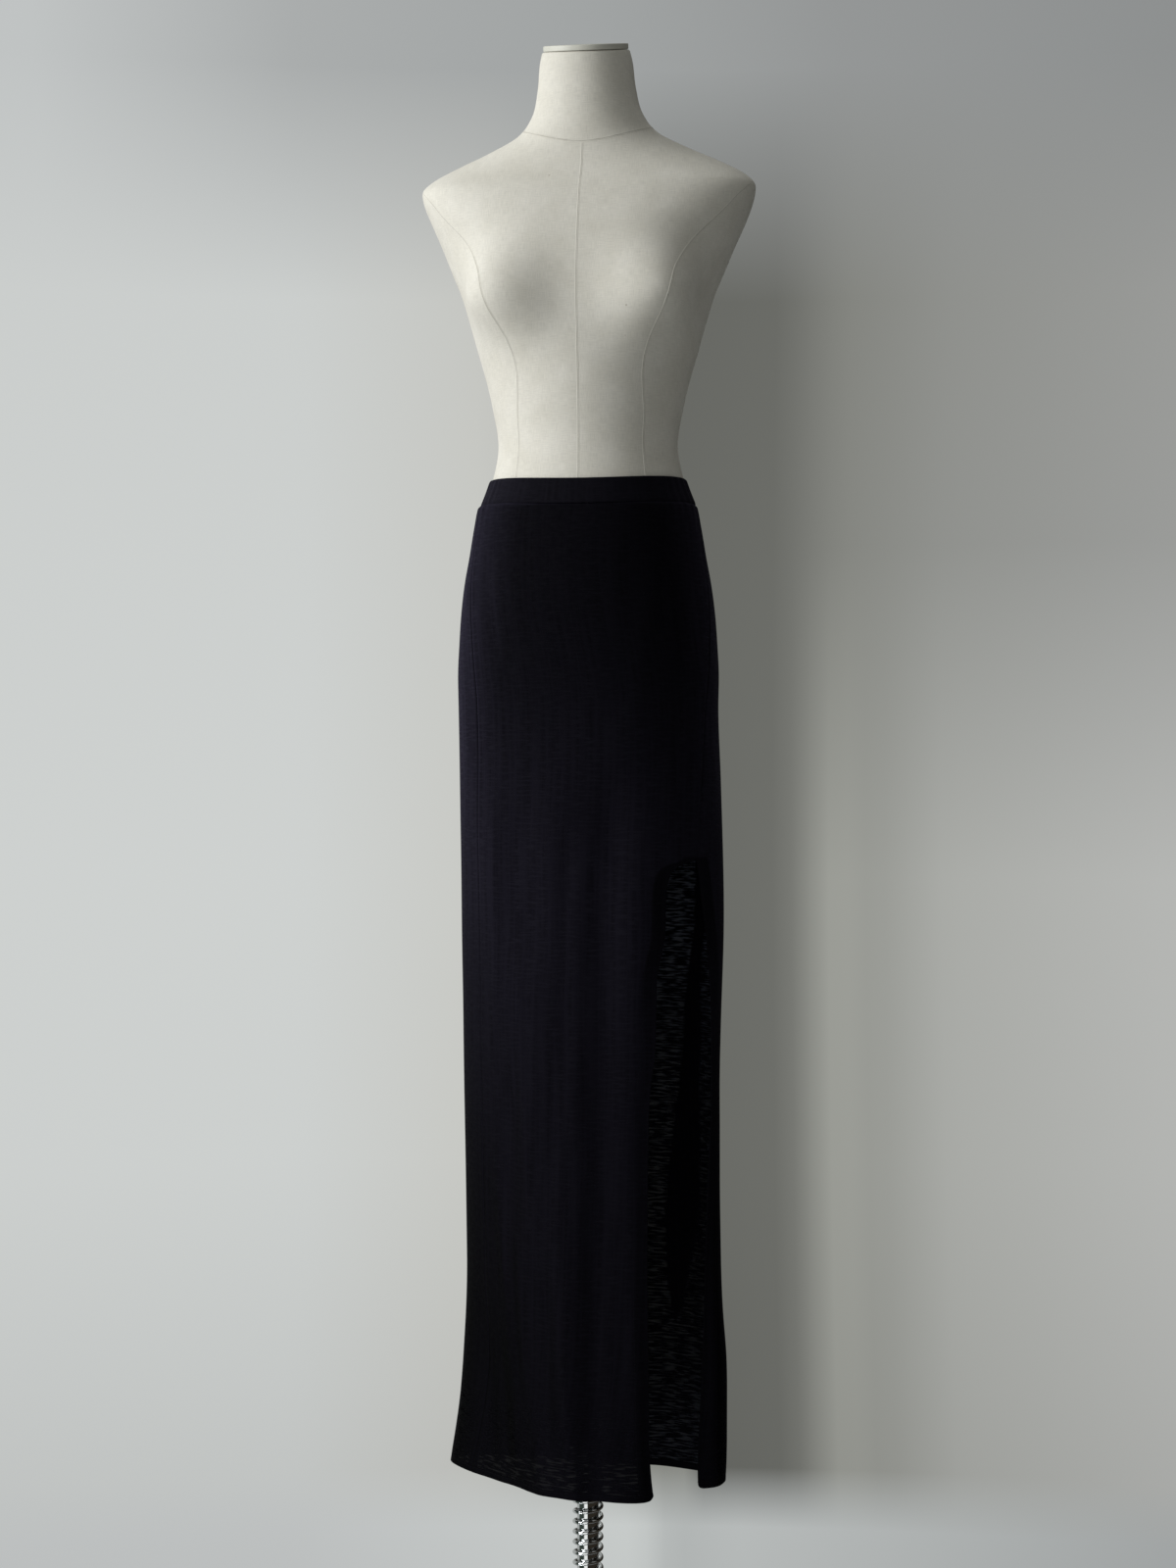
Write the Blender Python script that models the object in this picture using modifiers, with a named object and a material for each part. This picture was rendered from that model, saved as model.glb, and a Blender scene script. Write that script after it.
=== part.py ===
"""A straight maxi skirt worn by a limbless dress form on a chrome stand with a spring round its pole.

Metres, +Z up. The base stands on z = 0, the pole runs up the Z axis and the form faces -Y.
Directions about the pole are in degrees: 0 is +X, -90 the front, 90 the back, 180 is -X.
"""

import math

import bmesh
import bpy
import numpy as np

# Gap between pieces that touch on the real thing.
GAP = 0.0003

# Cloth: the wall of the panels, how far their outside stands off the form, and the waistband's casing.
CLOTH_WALL = 0.0015
SKIRT_EASE = 0.0035
LEFT_SIDE_EASE = 0.0055
BAND_WALL = 0.0026
BAND_CLEARANCE = 0.0005
# How much further out the waistband's lower edge stands than its top edge.
BAND_FLARE = 0.0010
# The gap between the waistband's lower edge and the panels.
BAND_SEAM_GAP = 0.0007

# Heights of the skirt's edges, and of the form's lower rim and the neck's top.
HEM_HEIGHT = 0.247
SLIT_TOP = 0.965
BAND_BOTTOM = 1.364
BAND_TOP = 1.393
# The waistband rises towards the sides: its top edge, and its seam, which the panels' rows follow.
TOP_SIDE_LIFT = 0.0073
SEAM_SIDE_LIFT = 0.0070
LIFT_REACH = 0.060
FORM_BOTTOM = 1.130
FORM_TOP = 1.8935

# The form's sections: half is the half width, centre the Y of the widest line, front and back the
# depths from that line, nod how much a section dips towards the front, square its superellipse power.
FORM_COLUMNS = ("height", "half", "centre", "front", "back", "nod", "square")
FORM_SECTIONS = (
    (FORM_BOTTOM, 0.1440, 0.010, 0.104, 0.100, 0.000, 2.15),
    (1.138, 0.1468, 0.010, 0.107, 0.104, 0.000, 2.15),
    (1.175, 0.1475, 0.010, 0.109, 0.110, 0.000, 2.15),
    (1.220, 0.1453, 0.009, 0.111, 0.112, 0.000, 2.12),
    (1.266, 0.1412, 0.007, 0.110, 0.108, 0.000, 2.10),
    (1.311, 0.1333, 0.004, 0.105, 0.101, 0.000, 2.08),
    (1.357, 0.1240, 0.002, 0.099, 0.094, 0.000, 2.05),
    (BAND_TOP, 0.1130, 0.001, 0.093, 0.089, 0.000, 2.00),
    (1.440, 0.1040, 0.000, 0.089, 0.087, 0.000, 2.00),
    (1.486, 0.1110, 0.000, 0.093, 0.091, 0.000, 2.00),
    (1.516, 0.1180, 0.001, 0.098, 0.095, 0.000, 2.00),
    (1.550, 0.1278, 0.002, 0.104, 0.100, 0.000, 2.00),
    (1.585, 0.1374, 0.003, 0.110, 0.104, 0.000, 2.00),
    (1.613, 0.1460, 0.004, 0.112, 0.106, 0.000, 2.00),
    (1.643, 0.1584, 0.005, 0.111, 0.107, 0.000, 2.08),
    (1.675, 0.1714, 0.006, 0.104, 0.106, 0.000, 2.30),
    (1.700, 0.1822, 0.007, 0.097, 0.102, 0.010, 2.60),
    (1.722, 0.1910, 0.004, 0.086, 0.096, 0.030, 2.65),
    (1.737, 0.1940, 0.002, 0.077, 0.090, 0.060, 2.45),
    (1.751, 0.1830, 0.002, 0.068, 0.083, 0.100, 2.20),
    (1.767, 0.1540, 0.002, 0.061, 0.075, 0.150, 2.00),
    (1.784, 0.1160, 0.001, 0.056, 0.065, 0.195, 1.93),
    (1.801, 0.0825, -0.002, 0.053, 0.057, 0.235, 1.95),
    (1.822, 0.0648, -0.006, 0.050, 0.052, 0.265, 2.00),
    (1.850, 0.0570, -0.012, 0.048, 0.050, 0.290, 2.00),
    (1.880, 0.0535, -0.017, 0.047, 0.049, 0.300, 2.00),
    (FORM_TOP, 0.0502, -0.020, 0.046, 0.046, 0.305, 2.00),
)
FORM_EXTRA_LEVELS = (1.371, 1.385, 1.401, 1.418)
FORM_COLUMN_COUNT = 40
# The two rounded rises of the bust: each one's spread above and below its height, and round the form.
BUST_HEIGHT = 1.598
BUST_DIRECTION = 42.5
BUST_RISE = 0.037
BUST_SPREAD_UP = 0.040
BUST_SPREAD_DOWN = 0.031
BUST_SPREAD_ROUND = 15.0

# The skirt's sections below the form's fullest level, where the cloth hangs free: extents towards -X
# and +X, the Y of the long axis at the pole, its lean, the depths in front of it and behind it, and
# the superellipse power of each quarter.
DRAPE_COLUMNS = (
    "height", "left", "right", "centre", "lean", "front", "back", "front_left", "front_right", "behind",
)
DRAPE_SECTIONS = (
    (1.050, 0.1512, 0.1535, 0.010, -0.010, 0.113, 0.110, 2.10, 2.10, 2.15),
    (0.900, 0.1495, 0.1570, 0.010, -0.025, 0.114, 0.103, 2.00, 2.05, 2.15),
    (0.700, 0.1480, 0.1525, 0.012, -0.050, 0.116, 0.090, 1.85, 2.00, 2.15),
    (0.500, 0.1475, 0.1542, 0.017, -0.080, 0.119, 0.070, 1.60, 1.92, 2.20),
    (0.350, 0.1580, 0.1600, 0.022, -0.108, 0.122, 0.053, 1.32, 1.85, 2.30),
    (HEM_HEIGHT, 0.1745, 0.1595, 0.027, -0.125, 0.125, 0.040, 1.20, 1.80, 2.40),
)
# Levels at which the skirt follows the form itself, outside it by SKIRT_EASE.
HIP_LEVELS = (BAND_BOTTOM, 1.340, 1.311, 1.280, 1.245, 1.210, 1.175, 1.138)

# The side seams and the slit. left_seam is the seam at the viewer's left. Above the slit's top both
# edges are the right seam, and below it the panels part. A curl is how far an edge turns inwards.
EDGE_COLUMNS = ("height", "left_seam", "front_edge", "back_edge", "front_curl", "back_curl")
EDGE_TABLE = (
    (BAND_BOTTOM, -165.0, -3.0, -3.0, 0.000, 0.000),
    (1.250, -158.0, -9.0, -9.0, 0.000, 0.000),
    (1.150, -153.0, -14.0, -14.0, 0.000, 0.000),
    (1.050, -152.5, -19.0, -19.0, 0.000, 0.000),
    (SLIT_TOP, -153.0, -23.7, -23.7, 0.000, 0.000),
    (0.957, -153.0, -33.5, -23.0, 0.001, 0.000),
    (0.944, -153.1, -37.5, -21.9, 0.002, 0.000),
    (0.925, -153.2, -38.8, -20.5, 0.003, 0.001),
    (0.880, -153.5, -39.5, -17.0, 0.003, 0.002),
    (0.830, -154.2, -44.0, -14.0, 0.003, 0.002),
    (0.760, -155.5, -44.5, -10.6, 0.003, 0.002),
    (0.690, -157.2, -47.5, -9.6, 0.003, 0.002),
    (0.610, -159.5, -48.2, -12.0, 0.003, 0.003),
    (0.530, -162.3, -48.2, -13.6, 0.003, 0.004),
    (0.450, -166.5, -48.0, -15.0, 0.003, 0.006),
    (0.380, -171.0, -47.4, -16.5, 0.004, 0.008),
    (0.310, -177.0, -46.4, -16.5, 0.005, 0.011),
    (0.270, -180.5, -44.5, -15.5, 0.006, 0.013),
    (HEM_HEIGHT, -182.5, -42.8, -14.5, 0.007, 0.014),
)
CURL_WIDTH = 0.012

# The largest folds: from top to bottom, the direction of each at its two ends, how far it stands out
# of the plain section (in, where negative) and half its width.
FOLD_COLUMNS = ("top", "bottom", "at_top", "at_bottom", "rise", "width")
FOLDS = (
    (1.10, 0.20, -68.0, -81.0, -0.0065, 0.016),
    (1.09, 0.74, -107.0, -107.0, 0.0035, 0.015),
    (0.92, 0.20, -128.0, -121.0, 0.0055, 0.017),
    (1.09, 0.74, -144.0, -143.0, 0.0035, 0.015),
    (0.78, 0.56, -134.0, -134.0, -0.0035, 0.013),
    (0.58, 0.30, -116.0, -116.0, -0.0040, 0.012),
    (0.64, 0.32, -104.0, -104.0, 0.0040, 0.014),
    (1.02, 0.76, -62.0, -60.0, 0.0040, 0.020),
    (0.50, 0.24, -168.0, -172.0, -0.0050, 0.013),
    (1.06, 0.20, 118.0, 110.0, -0.0070, 0.019),
    (1.02, 0.20, 92.0, 88.0, 0.0050, 0.018),
    (0.96, 0.20, 68.0, 60.0, -0.0070, 0.018),
    (0.90, 0.20, 46.0, 34.0, 0.0050, 0.017),
    (1.00, 0.36, 142.0, 139.0, 0.0045, 0.019),
)
FOLD_FADE = 0.12
# A fold still has this share of its way in hand where its table row ends, so that it reaches the hem.
FOLD_CARRY = 0.5

# Where the panels' rows lie, besides the heights of EDGE_TABLE.
PANEL_LEVELS = (1.335, 1.300, 1.265, 1.225, 1.190, 1.100, 1.010)
FRONT_COLUMNS = 28
BACK_COLUMNS = 32

# The gathers that the elastic draws up at both sides of the waistband.
BAND_ROWS = 2
BAND_FLAT_COLUMNS = 16
BAND_GATHER_COLUMNS = 26
GATHER_HALF_SPAN = 34.0
GATHER_COUNT = 11
GATHER_RISE = 0.0009

# The stand.
POLE_RADIUS = 0.0125
BASE_RADIUS = 0.210
BASE_THICKNESS = 0.014
HUB_HEIGHT = 0.038
HUB_RADIUS = 0.030
WIRE_RADIUS = 0.0022
SPRING_RADIUS = 0.0158
SPRING_PITCH = 0.0119
SPRING_TURNS = 20
SPRING_STEPS = 10
STOP_HEIGHT = 0.012
STOP_RADIUS = 0.0215
SOCKET_HEIGHT = 0.012
SOCKET_RADIUS = 0.036

COLLAR_CHAMFER = 0.0015
COLLAR_SIDES = 28
POLE_SIDES = 32
BASE_SIDES = 56
# The base's section from its middle to its rim, as shares of BASE_RADIUS and BASE_THICKNESS.
BASE_PROFILE = ((0.0, 1.0), (0.215, 1.0), (0.62, 0.84), (0.93, 0.46), (0.985, 0.28), (1.0, 0.10), (1.0, 0.0))

# The cap that closes the neck.
CAP_RADIUS = 0.0490
CAP_THICKNESS = 0.0065
CAP_EDGE = 0.0008
CAP_SIDES = 40

FULL_TURN = 2 * math.pi
OUTLINE_STEPS = 720
# How far an outline's corners are rounded, in degrees.
SKIRT_SOFTENING = 3
FORM_SOFTENING = 2
SHARP_EDGE = math.radians(40)


def column(table, names, name):
    """One named column of a table, in order of rising height."""
    rows = sorted(table)
    return np.array([row[names.index(name)] for row in rows])


def smooth_value(height, heights, values):
    """A smooth curve through a table's column: cubic between rows, with averaged slopes."""
    height = min(max(height, heights[0]), heights[-1])
    slopes = np.diff(values) / np.diff(heights)
    tangents = np.concatenate(([slopes[0]], (slopes[1:] + slopes[:-1]) / 2, [slopes[-1]]))
    turning = np.concatenate(([False], slopes[1:] * slopes[:-1] <= 0, [False]))
    tangents = np.where(turning, 0.0, tangents)
    below = min(int(np.searchsorted(heights, height, side="right")) - 1, len(heights) - 2)
    span = heights[below + 1] - heights[below]
    t = (height - heights[below]) / span
    return float(
        (1 + 2 * t) * (1 - t) ** 2 * values[below]
        + t * (1 - t) ** 2 * span * tangents[below]
        + t * t * (3 - 2 * t) * values[below + 1]
        + t * t * (t - 1) * span * tangents[below + 1]
    )


def row_at(height, table, names):
    """Every column of a table at a height, by name."""
    heights = column(table, names, "height")
    return {name: smooth_value(height, heights, column(table, names, name)) for name in names}


def form_row(height):
    return row_at(height, FORM_SECTIONS, FORM_COLUMNS)


def hip_row(height):
    """The form's section as a row of the drape table, let out by the skirt's ease."""
    form = form_row(height)
    right = form["half"] + SKIRT_EASE
    left = form["half"] + LEFT_SIDE_EASE
    front = form["front"] + SKIRT_EASE
    back = form["back"] + SKIRT_EASE
    square = form["square"]
    return (height, left, right, form["centre"], 0.0, front, back, square, square, square)


SKIRT_SECTIONS = tuple(hip_row(height) for height in HIP_LEVELS) + DRAPE_SECTIONS


def outline(left, right, centre, lean, front, back, powers):
    """Directions and radii round a section of four quarter superellipses, closed and in order."""
    turn = np.linspace(0, FULL_TURN, OUTLINE_STEPS, endpoint=False)
    across = np.cos(turn)
    along = np.sin(turn)
    in_front = along < 0
    power = np.where(in_front, np.where(across < 0, powers[0], powers[1]), powers[2])
    x = np.where(across < 0, left, right) * np.sign(across) * np.abs(across) ** (2 / power)
    y = np.where(in_front, front, back) * np.sign(along) * np.abs(along) ** (2 / power)
    y = y + centre + lean * x
    directions = np.degrees(np.arctan2(y, x)) % 360
    order = np.argsort(directions)
    return directions[order], np.hypot(x, y)[order]


def softened(directions, radii, spread):
    """The same outline on even directions, its corners rounded over a few degrees."""
    even = np.arange(0, 360, 1.0)
    value = np.interp(even, directions, radii, period=360)
    reach = np.arange(-3 * spread, 3 * spread + 1)
    weight = np.exp(-0.5 * (reach / spread) ** 2)
    weight = weight / weight.sum()
    rounded = sum(w * np.roll(value, int(shift)) for w, shift in zip(weight, reach))
    return even, rounded


def make_skirt_section(height):
    row = row_at(height, SKIRT_SECTIONS, DRAPE_COLUMNS)
    powers = (row["front_left"], row["front_right"], row["behind"])
    shape = outline(
        row["left"], row["right"], row["centre"], row["lean"], row["front"], row["back"], powers
    )
    return softened(*shape, spread=SKIRT_SOFTENING)


SECTION_CACHE = {}


def skirt_radius(direction, height):
    """The outer radius of the cloth, with its folds. direction may be an array."""
    key = round(height, 6)
    if key not in SECTION_CACHE:
        SECTION_CACHE[key] = make_skirt_section(height)
    directions, radii = SECTION_CACHE[key]
    radius = np.interp(direction, directions, radii, period=360)
    return radius + fold_offset(direction, height, radius)


def ease_in(value):
    value = np.clip(value, 0.0, 1.0)
    return value * value * (3 - 2 * value)


def fold_offset(direction, height, radius):
    total = np.zeros_like(np.asarray(direction, dtype=float))
    for values in FOLDS:
        fold = dict(zip(FOLD_COLUMNS, values))
        along = (fold["top"] - height) / (fold["top"] - fold["bottom"])
        centre = fold["at_top"] + (fold["at_bottom"] - fold["at_top"]) * min(max(along, 0), 1)
        strength = ease_in((fold["top"] - height) / FOLD_FADE)
        strength = strength * ease_in((height - fold["bottom"]) / FOLD_FADE + FOLD_CARRY)
        away = (np.asarray(direction) - centre + 180) % 360 - 180
        distance = np.radians(away) * radius
        total = total + fold["rise"] * strength * np.exp(-0.5 * (distance / fold["width"]) ** 2)
    return total


def edge_at(height, name):
    heights = column(EDGE_TABLE, EDGE_COLUMNS, "height")
    return float(np.interp(height, heights, column(EDGE_TABLE, EDGE_COLUMNS, name)))


def plan_line(start, end, height, curl_start, curl_end):
    """X and Y of the cloth's outer line at a height, between two directions, and its length so far."""
    directions = np.linspace(start, end, OUTLINE_STEPS)
    radius = skirt_radius(directions, height)
    x = radius * np.cos(np.radians(directions))
    y = radius * np.sin(np.radians(directions))
    length = np.concatenate(([0.0], np.cumsum(np.hypot(np.diff(x), np.diff(y)))))
    curl = curl_start * np.exp(-((length / CURL_WIDTH) ** 2))
    curl = curl + curl_end * np.exp(-(((length[-1] - length) / CURL_WIDTH) ** 2))
    shrink = (radius - curl) / radius
    return x * shrink, y * shrink, length


def seam_lift(x, y, height):
    """How far the cloth near the waistband's seam is drawn up towards the sides."""
    towards_side = x * x / (x * x + y * y)
    return SEAM_SIDE_LIFT * towards_side * float(ease_in(1 - (BAND_BOTTOM - height) / LIFT_REACH))


def panel_row(edges, height, columns):
    """Evenly spaced points of a panel at one height, half a seam's gap inside its two edges."""
    start_name, end_name, curl_start_name, curl_end_name, end_turn = edges
    start = edge_at(height, start_name)
    end = edge_at(height, end_name) + end_turn
    curl_start = edge_at(height, curl_start_name) if curl_start_name else 0.0
    curl_end = edge_at(height, curl_end_name) if curl_end_name else 0.0
    x, y, length = plan_line(start, end, height, curl_start, curl_end)
    stations = np.linspace(GAP / 2, length[-1] - GAP / 2, columns + 1)
    row = []
    for station in stations:
        place_x = float(np.interp(station, length, x))
        place_y = float(np.interp(station, length, y))
        row.append((place_x, place_y, height + seam_lift(place_x, place_y, height)))
    return row


FRONT_EDGES = ("left_seam", "front_edge", None, "front_curl", 0.0)
BACK_EDGES = ("back_edge", "left_seam", "back_curl", None, 360.0)


def panel_levels():
    levels = {row[0] for row in EDGE_TABLE} | set(PANEL_LEVELS)
    return sorted(levels, reverse=True)


def form_radii(height):
    """Directions and radii of the form at a level, before its sections are tipped by their nod."""
    row = form_row(height)
    powers = (row["square"],) * 3
    shape = outline(row["half"], row["half"], 0.0, 0.0, row["front"], row["back"], powers)
    directions, radii = softened(*shape, spread=FORM_SOFTENING)
    spread = BUST_SPREAD_UP if height > BUST_HEIGHT else BUST_SPREAD_DOWN
    rise = BUST_RISE * math.exp(-0.5 * ((height - BUST_HEIGHT) / spread) ** 2)
    for side in (-1, 1):
        away = (directions - (-90 + side * BUST_DIRECTION) + 180) % 360 - 180
        radii = radii + rise * np.exp(-0.5 * (away / BUST_SPREAD_ROUND) ** 2)
    return directions, radii


def form_point(direction, height, out=0.0):
    """A point on the form's skin, moved outwards by out. Its section dips forwards by the nod."""
    row = form_row(height)
    radius = float(np.interp(direction, *form_radii(height), period=360)) + out
    x = radius * math.cos(math.radians(direction))
    y = radius * math.sin(math.radians(direction))
    return (x, y + row["centre"], height + row["nod"] * y)


def new_mesh_object(name, points, faces, material, collection):
    mesh = bpy.data.meshes.new(name)
    mesh.from_pydata(points, [], faces)
    mesh.update()
    obj = bpy.data.objects.new(name, mesh)
    obj.data.materials.append(material)
    collection.objects.link(obj)
    return obj


def grid_faces(rows, columns, closed=False):
    """Quads of a grid of points in rows from top to bottom, running anticlockwise seen from above."""
    width = columns if closed else columns + 1
    faces = []
    for row in range(rows):
        for step in range(columns):
            after = (step + 1) % width
            above = row * width
            below = above + width
            faces.append((above + step, below + step, below + after, above + after))
    return faces


def smooth_shading(obj):
    obj.data.shade_smooth()
    obj.data.set_sharp_from_angle(angle=SHARP_EDGE)


def thicken(obj, wall):
    """Grows a cloth sheet inwards from its outer surface."""
    solidify = obj.modifiers.new("wall", "SOLIDIFY")
    solidify.thickness = wall
    solidify.offset = -1.0
    solidify.use_even_offset = True
    solidify.use_rim = True


def make_material(name, color, roughness, metallic=0.0):
    material = bpy.data.materials.new(name)
    material.use_nodes = True
    shader = material.node_tree.nodes["Principled BSDF"]
    shader.inputs["Base Color"].default_value = (*color, 1.0)
    shader.inputs["Roughness"].default_value = roughness
    shader.inputs["Metallic"].default_value = metallic
    material.diffuse_color = (*color, 1.0)
    return material


def make_panel(name, edges, columns, material, collection):
    levels = panel_levels()
    points = []
    for height in levels:
        points.extend(panel_row(edges, height, columns))
    panel = new_mesh_object(name, points, grid_faces(len(levels) - 1, columns), material, collection)
    smooth_shading(panel)
    thicken(panel, CLOTH_WALL)
    return panel


def gather_offset(direction):
    """The waistband's gathers: even small waves at both sides, fading out towards front and back."""
    total = 0.0
    for side in (0.0, 180.0):
        away = (direction - side + 180) % 360 - 180
        if abs(away) < GATHER_HALF_SPAN:
            fade = math.cos(math.pi / 2 * away / GATHER_HALF_SPAN) ** 0.5
            wave = math.cos(math.pi * GATHER_COUNT * away / GATHER_HALF_SPAN)
            total = total + GATHER_RISE * fade * (wave + 1) / 2
    return total


def band_directions():
    """Directions of the waistband's columns: close at the gathered sides, wide between them."""
    gather = GATHER_HALF_SPAN
    spans = (
        (-gather, gather, BAND_GATHER_COLUMNS),
        (gather, 180 - gather, BAND_FLAT_COLUMNS),
        (180 - gather, 180 + gather, BAND_GATHER_COLUMNS),
        (180 + gather, 360 - gather, BAND_FLAT_COLUMNS),
    )
    parts = [np.linspace(start, end, count, endpoint=False) for start, end, count in spans]
    return np.concatenate(parts)


def band_levels():
    return [float(height) for height in np.linspace(BAND_TOP, BAND_BOTTOM, BAND_ROWS + 1)]


def band_height(direction, level):
    """The height of one of the waistband's levels, which rise towards the sides."""
    share = (BAND_TOP - level) / (BAND_TOP - BAND_BOTTOM)
    lift = TOP_SIDE_LIFT + (SEAM_SIDE_LIFT - TOP_SIDE_LIFT) * share
    return level + share * BAND_SEAM_GAP + lift * math.cos(math.radians(direction)) ** 2


def make_waistband(material, collection):
    """A ring of doubled cloth over elastic, snug on the form and let out a little at its lower edge."""
    directions = band_directions()
    heights = band_levels()
    points = []
    for level in heights:
        share = (BAND_TOP - level) / (BAND_TOP - BAND_BOTTOM)
        out = BAND_CLEARANCE + BAND_WALL + BAND_FLARE * share
        for direction in directions:
            height = band_height(direction, level)
            points.append(form_point(direction, height, out + gather_offset(direction)))
    faces = grid_faces(len(heights) - 1, len(directions), closed=True)
    band = new_mesh_object("skirt_waistband", points, faces, material, collection)
    smooth_shading(band)
    thicken(band, BAND_WALL)
    return band


def make_torso(material, collection):
    """The form's body, lofted through its table's own sections, flat below and at the neck."""
    levels = {row[0] for row in FORM_SECTIONS} | set(band_levels()) | set(FORM_EXTRA_LEVELS)
    heights = sorted(levels, reverse=True)
    directions = np.arange(FORM_COLUMN_COUNT) * 360 / FORM_COLUMN_COUNT
    points = [form_point(direction, height) for height in heights for direction in directions]
    faces = grid_faces(len(heights) - 1, FORM_COLUMN_COUNT, closed=True)
    first_below = (len(heights) - 1) * FORM_COLUMN_COUNT
    faces.append(tuple(range(FORM_COLUMN_COUNT)))
    faces.append(tuple(first_below + step for step in reversed(range(FORM_COLUMN_COUNT))))
    torso = new_mesh_object("form_torso", points, faces, material, collection)
    smooth_shading(torso)
    return torso


def make_neck_cap(material, collection):
    """A thin disc on the tipped neck."""
    top = form_row(FORM_SECTIONS[-1][0])
    mesh = bpy.data.meshes.new("form_neck_cap")
    shape = bmesh.new()
    bmesh.ops.create_cone(
        shape,
        cap_ends=True,
        segments=CAP_SIDES,
        radius1=CAP_RADIUS,
        radius2=CAP_RADIUS,
        depth=CAP_THICKNESS,
    )
    shape.to_mesh(mesh)
    shape.free()
    cap = bpy.data.objects.new("form_neck_cap", mesh)
    cap.data.materials.append(material)
    collection.objects.link(cap)
    tip = math.atan(top["nod"])
    lift = GAP + CAP_THICKNESS / 2
    cap.rotation_euler = (tip, 0.0, 0.0)
    cap.location = (0.0, top["centre"] - lift * math.sin(tip), top["height"] + lift * math.cos(tip))
    bevel = cap.modifiers.new("edge", "BEVEL")
    bevel.width = CAP_EDGE
    bevel.segments = 1
    smooth_shading(cap)
    return cap


def make_turned(name, profile, material, collection, steps=COLLAR_SIDES, closed=False):
    """A turned piece: a profile of (radius, height) run down its outer side, swept about the pole."""
    mesh = bpy.data.meshes.new(name)
    count = len(profile)
    edges = [(step, step + 1) for step in range(count - 1)]
    if closed:
        edges.append((count - 1, 0))
    mesh.from_pydata([(radius, 0.0, height) for radius, height in profile], edges, [])
    obj = bpy.data.objects.new(name, mesh)
    obj.data.materials.append(material)
    collection.objects.link(obj)
    screw = obj.modifiers.new("turn", "SCREW")
    screw.axis = "Z"
    screw.steps = steps
    screw.render_steps = steps
    screw.use_merge_vertices = True
    screw.merge_threshold = 0.00001
    screw.use_smooth_shade = True
    return obj


def make_collar(name, low, high, radius, material, collection, foot=None):
    """A ring bored for the pole, with its outer edges broken. foot is a wider radius at its base."""
    bore = POLE_RADIUS + GAP
    foot = radius if foot is None else foot
    profile = (
        (bore, high),
        (radius - COLLAR_CHAMFER, high),
        (radius, high - COLLAR_CHAMFER),
        (foot, low + COLLAR_CHAMFER),
        (foot - COLLAR_CHAMFER, low),
        (bore, low),
    )
    return make_turned(name, profile, material, collection, closed=True)


def make_base(material, collection):
    """A round weighted plate, flat under the hub and falling gently to a rounded rim."""
    shares = BASE_PROFILE + ((0.0, 0.0),)
    profile = [(BASE_RADIUS * out, BASE_THICKNESS * up) for out, up in shares]
    return make_turned("stand_base", profile, material, collection, steps=BASE_SIDES)


def spring_points(low):
    """The coil's middle line, closed up at its two end turns and open between them."""
    points = []
    height = low
    closed_pitch = 2 * WIRE_RADIUS + GAP
    steps = SPRING_TURNS * SPRING_STEPS
    for step in range(steps + 1):
        angle = step / SPRING_STEPS * FULL_TURN
        turns_from_end = min(step, steps - step) / SPRING_STEPS
        points.append((SPRING_RADIUS * math.cos(angle), SPRING_RADIUS * math.sin(angle), height))
        opening = float(ease_in(turns_from_end - 0.5))
        height = height + (closed_pitch + (SPRING_PITCH - closed_pitch) * opening) / SPRING_STEPS
    return points


def make_spring(points, material, collection):
    curve = bpy.data.curves.new("stand_spring", "CURVE")
    curve.dimensions = "3D"
    curve.bevel_depth = WIRE_RADIUS
    curve.bevel_resolution = 1
    curve.use_fill_caps = True
    spline = curve.splines.new("POLY")
    spline.points.add(len(points) - 1)
    for point, place in zip(spline.points, points):
        point.co = (*place, 1.0)
    spring = bpy.data.objects.new("stand_spring", curve)
    spring.data.materials.append(material)
    collection.objects.link(spring)
    return spring


def make_pole(low, high, material, collection):
    mesh = bpy.data.meshes.new("stand_pole")
    shape = bmesh.new()
    bmesh.ops.create_cone(
        shape,
        cap_ends=True,
        segments=POLE_SIDES,
        radius1=POLE_RADIUS,
        radius2=POLE_RADIUS,
        depth=high - low,
    )
    shape.to_mesh(mesh)
    shape.free()
    pole = bpy.data.objects.new("stand_pole", mesh)
    pole.data.materials.append(material)
    collection.objects.link(pole)
    pole.location = (0.0, 0.0, (low + high) / 2)
    smooth_shading(pole)
    return pole


def make_skirt(collection):
    cloth = make_material("skirt_jersey", (0.006, 0.006, 0.009), 0.85)
    binding = make_material("skirt_waistband_jersey", (0.007, 0.007, 0.010), 0.85)
    make_waistband(binding, collection)
    make_panel("skirt_front_panel", FRONT_EDGES, FRONT_COLUMNS, cloth, collection)
    make_panel("skirt_back_panel", BACK_EDGES, BACK_COLUMNS, cloth, collection)


def make_form(collection):
    linen = make_material("form_linen", (0.66, 0.61, 0.52), 0.80)
    cap_grey = make_material("form_cap_grey", (0.42, 0.41, 0.39), 0.55)
    make_torso(linen, collection)
    make_neck_cap(cap_grey, collection)


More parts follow.
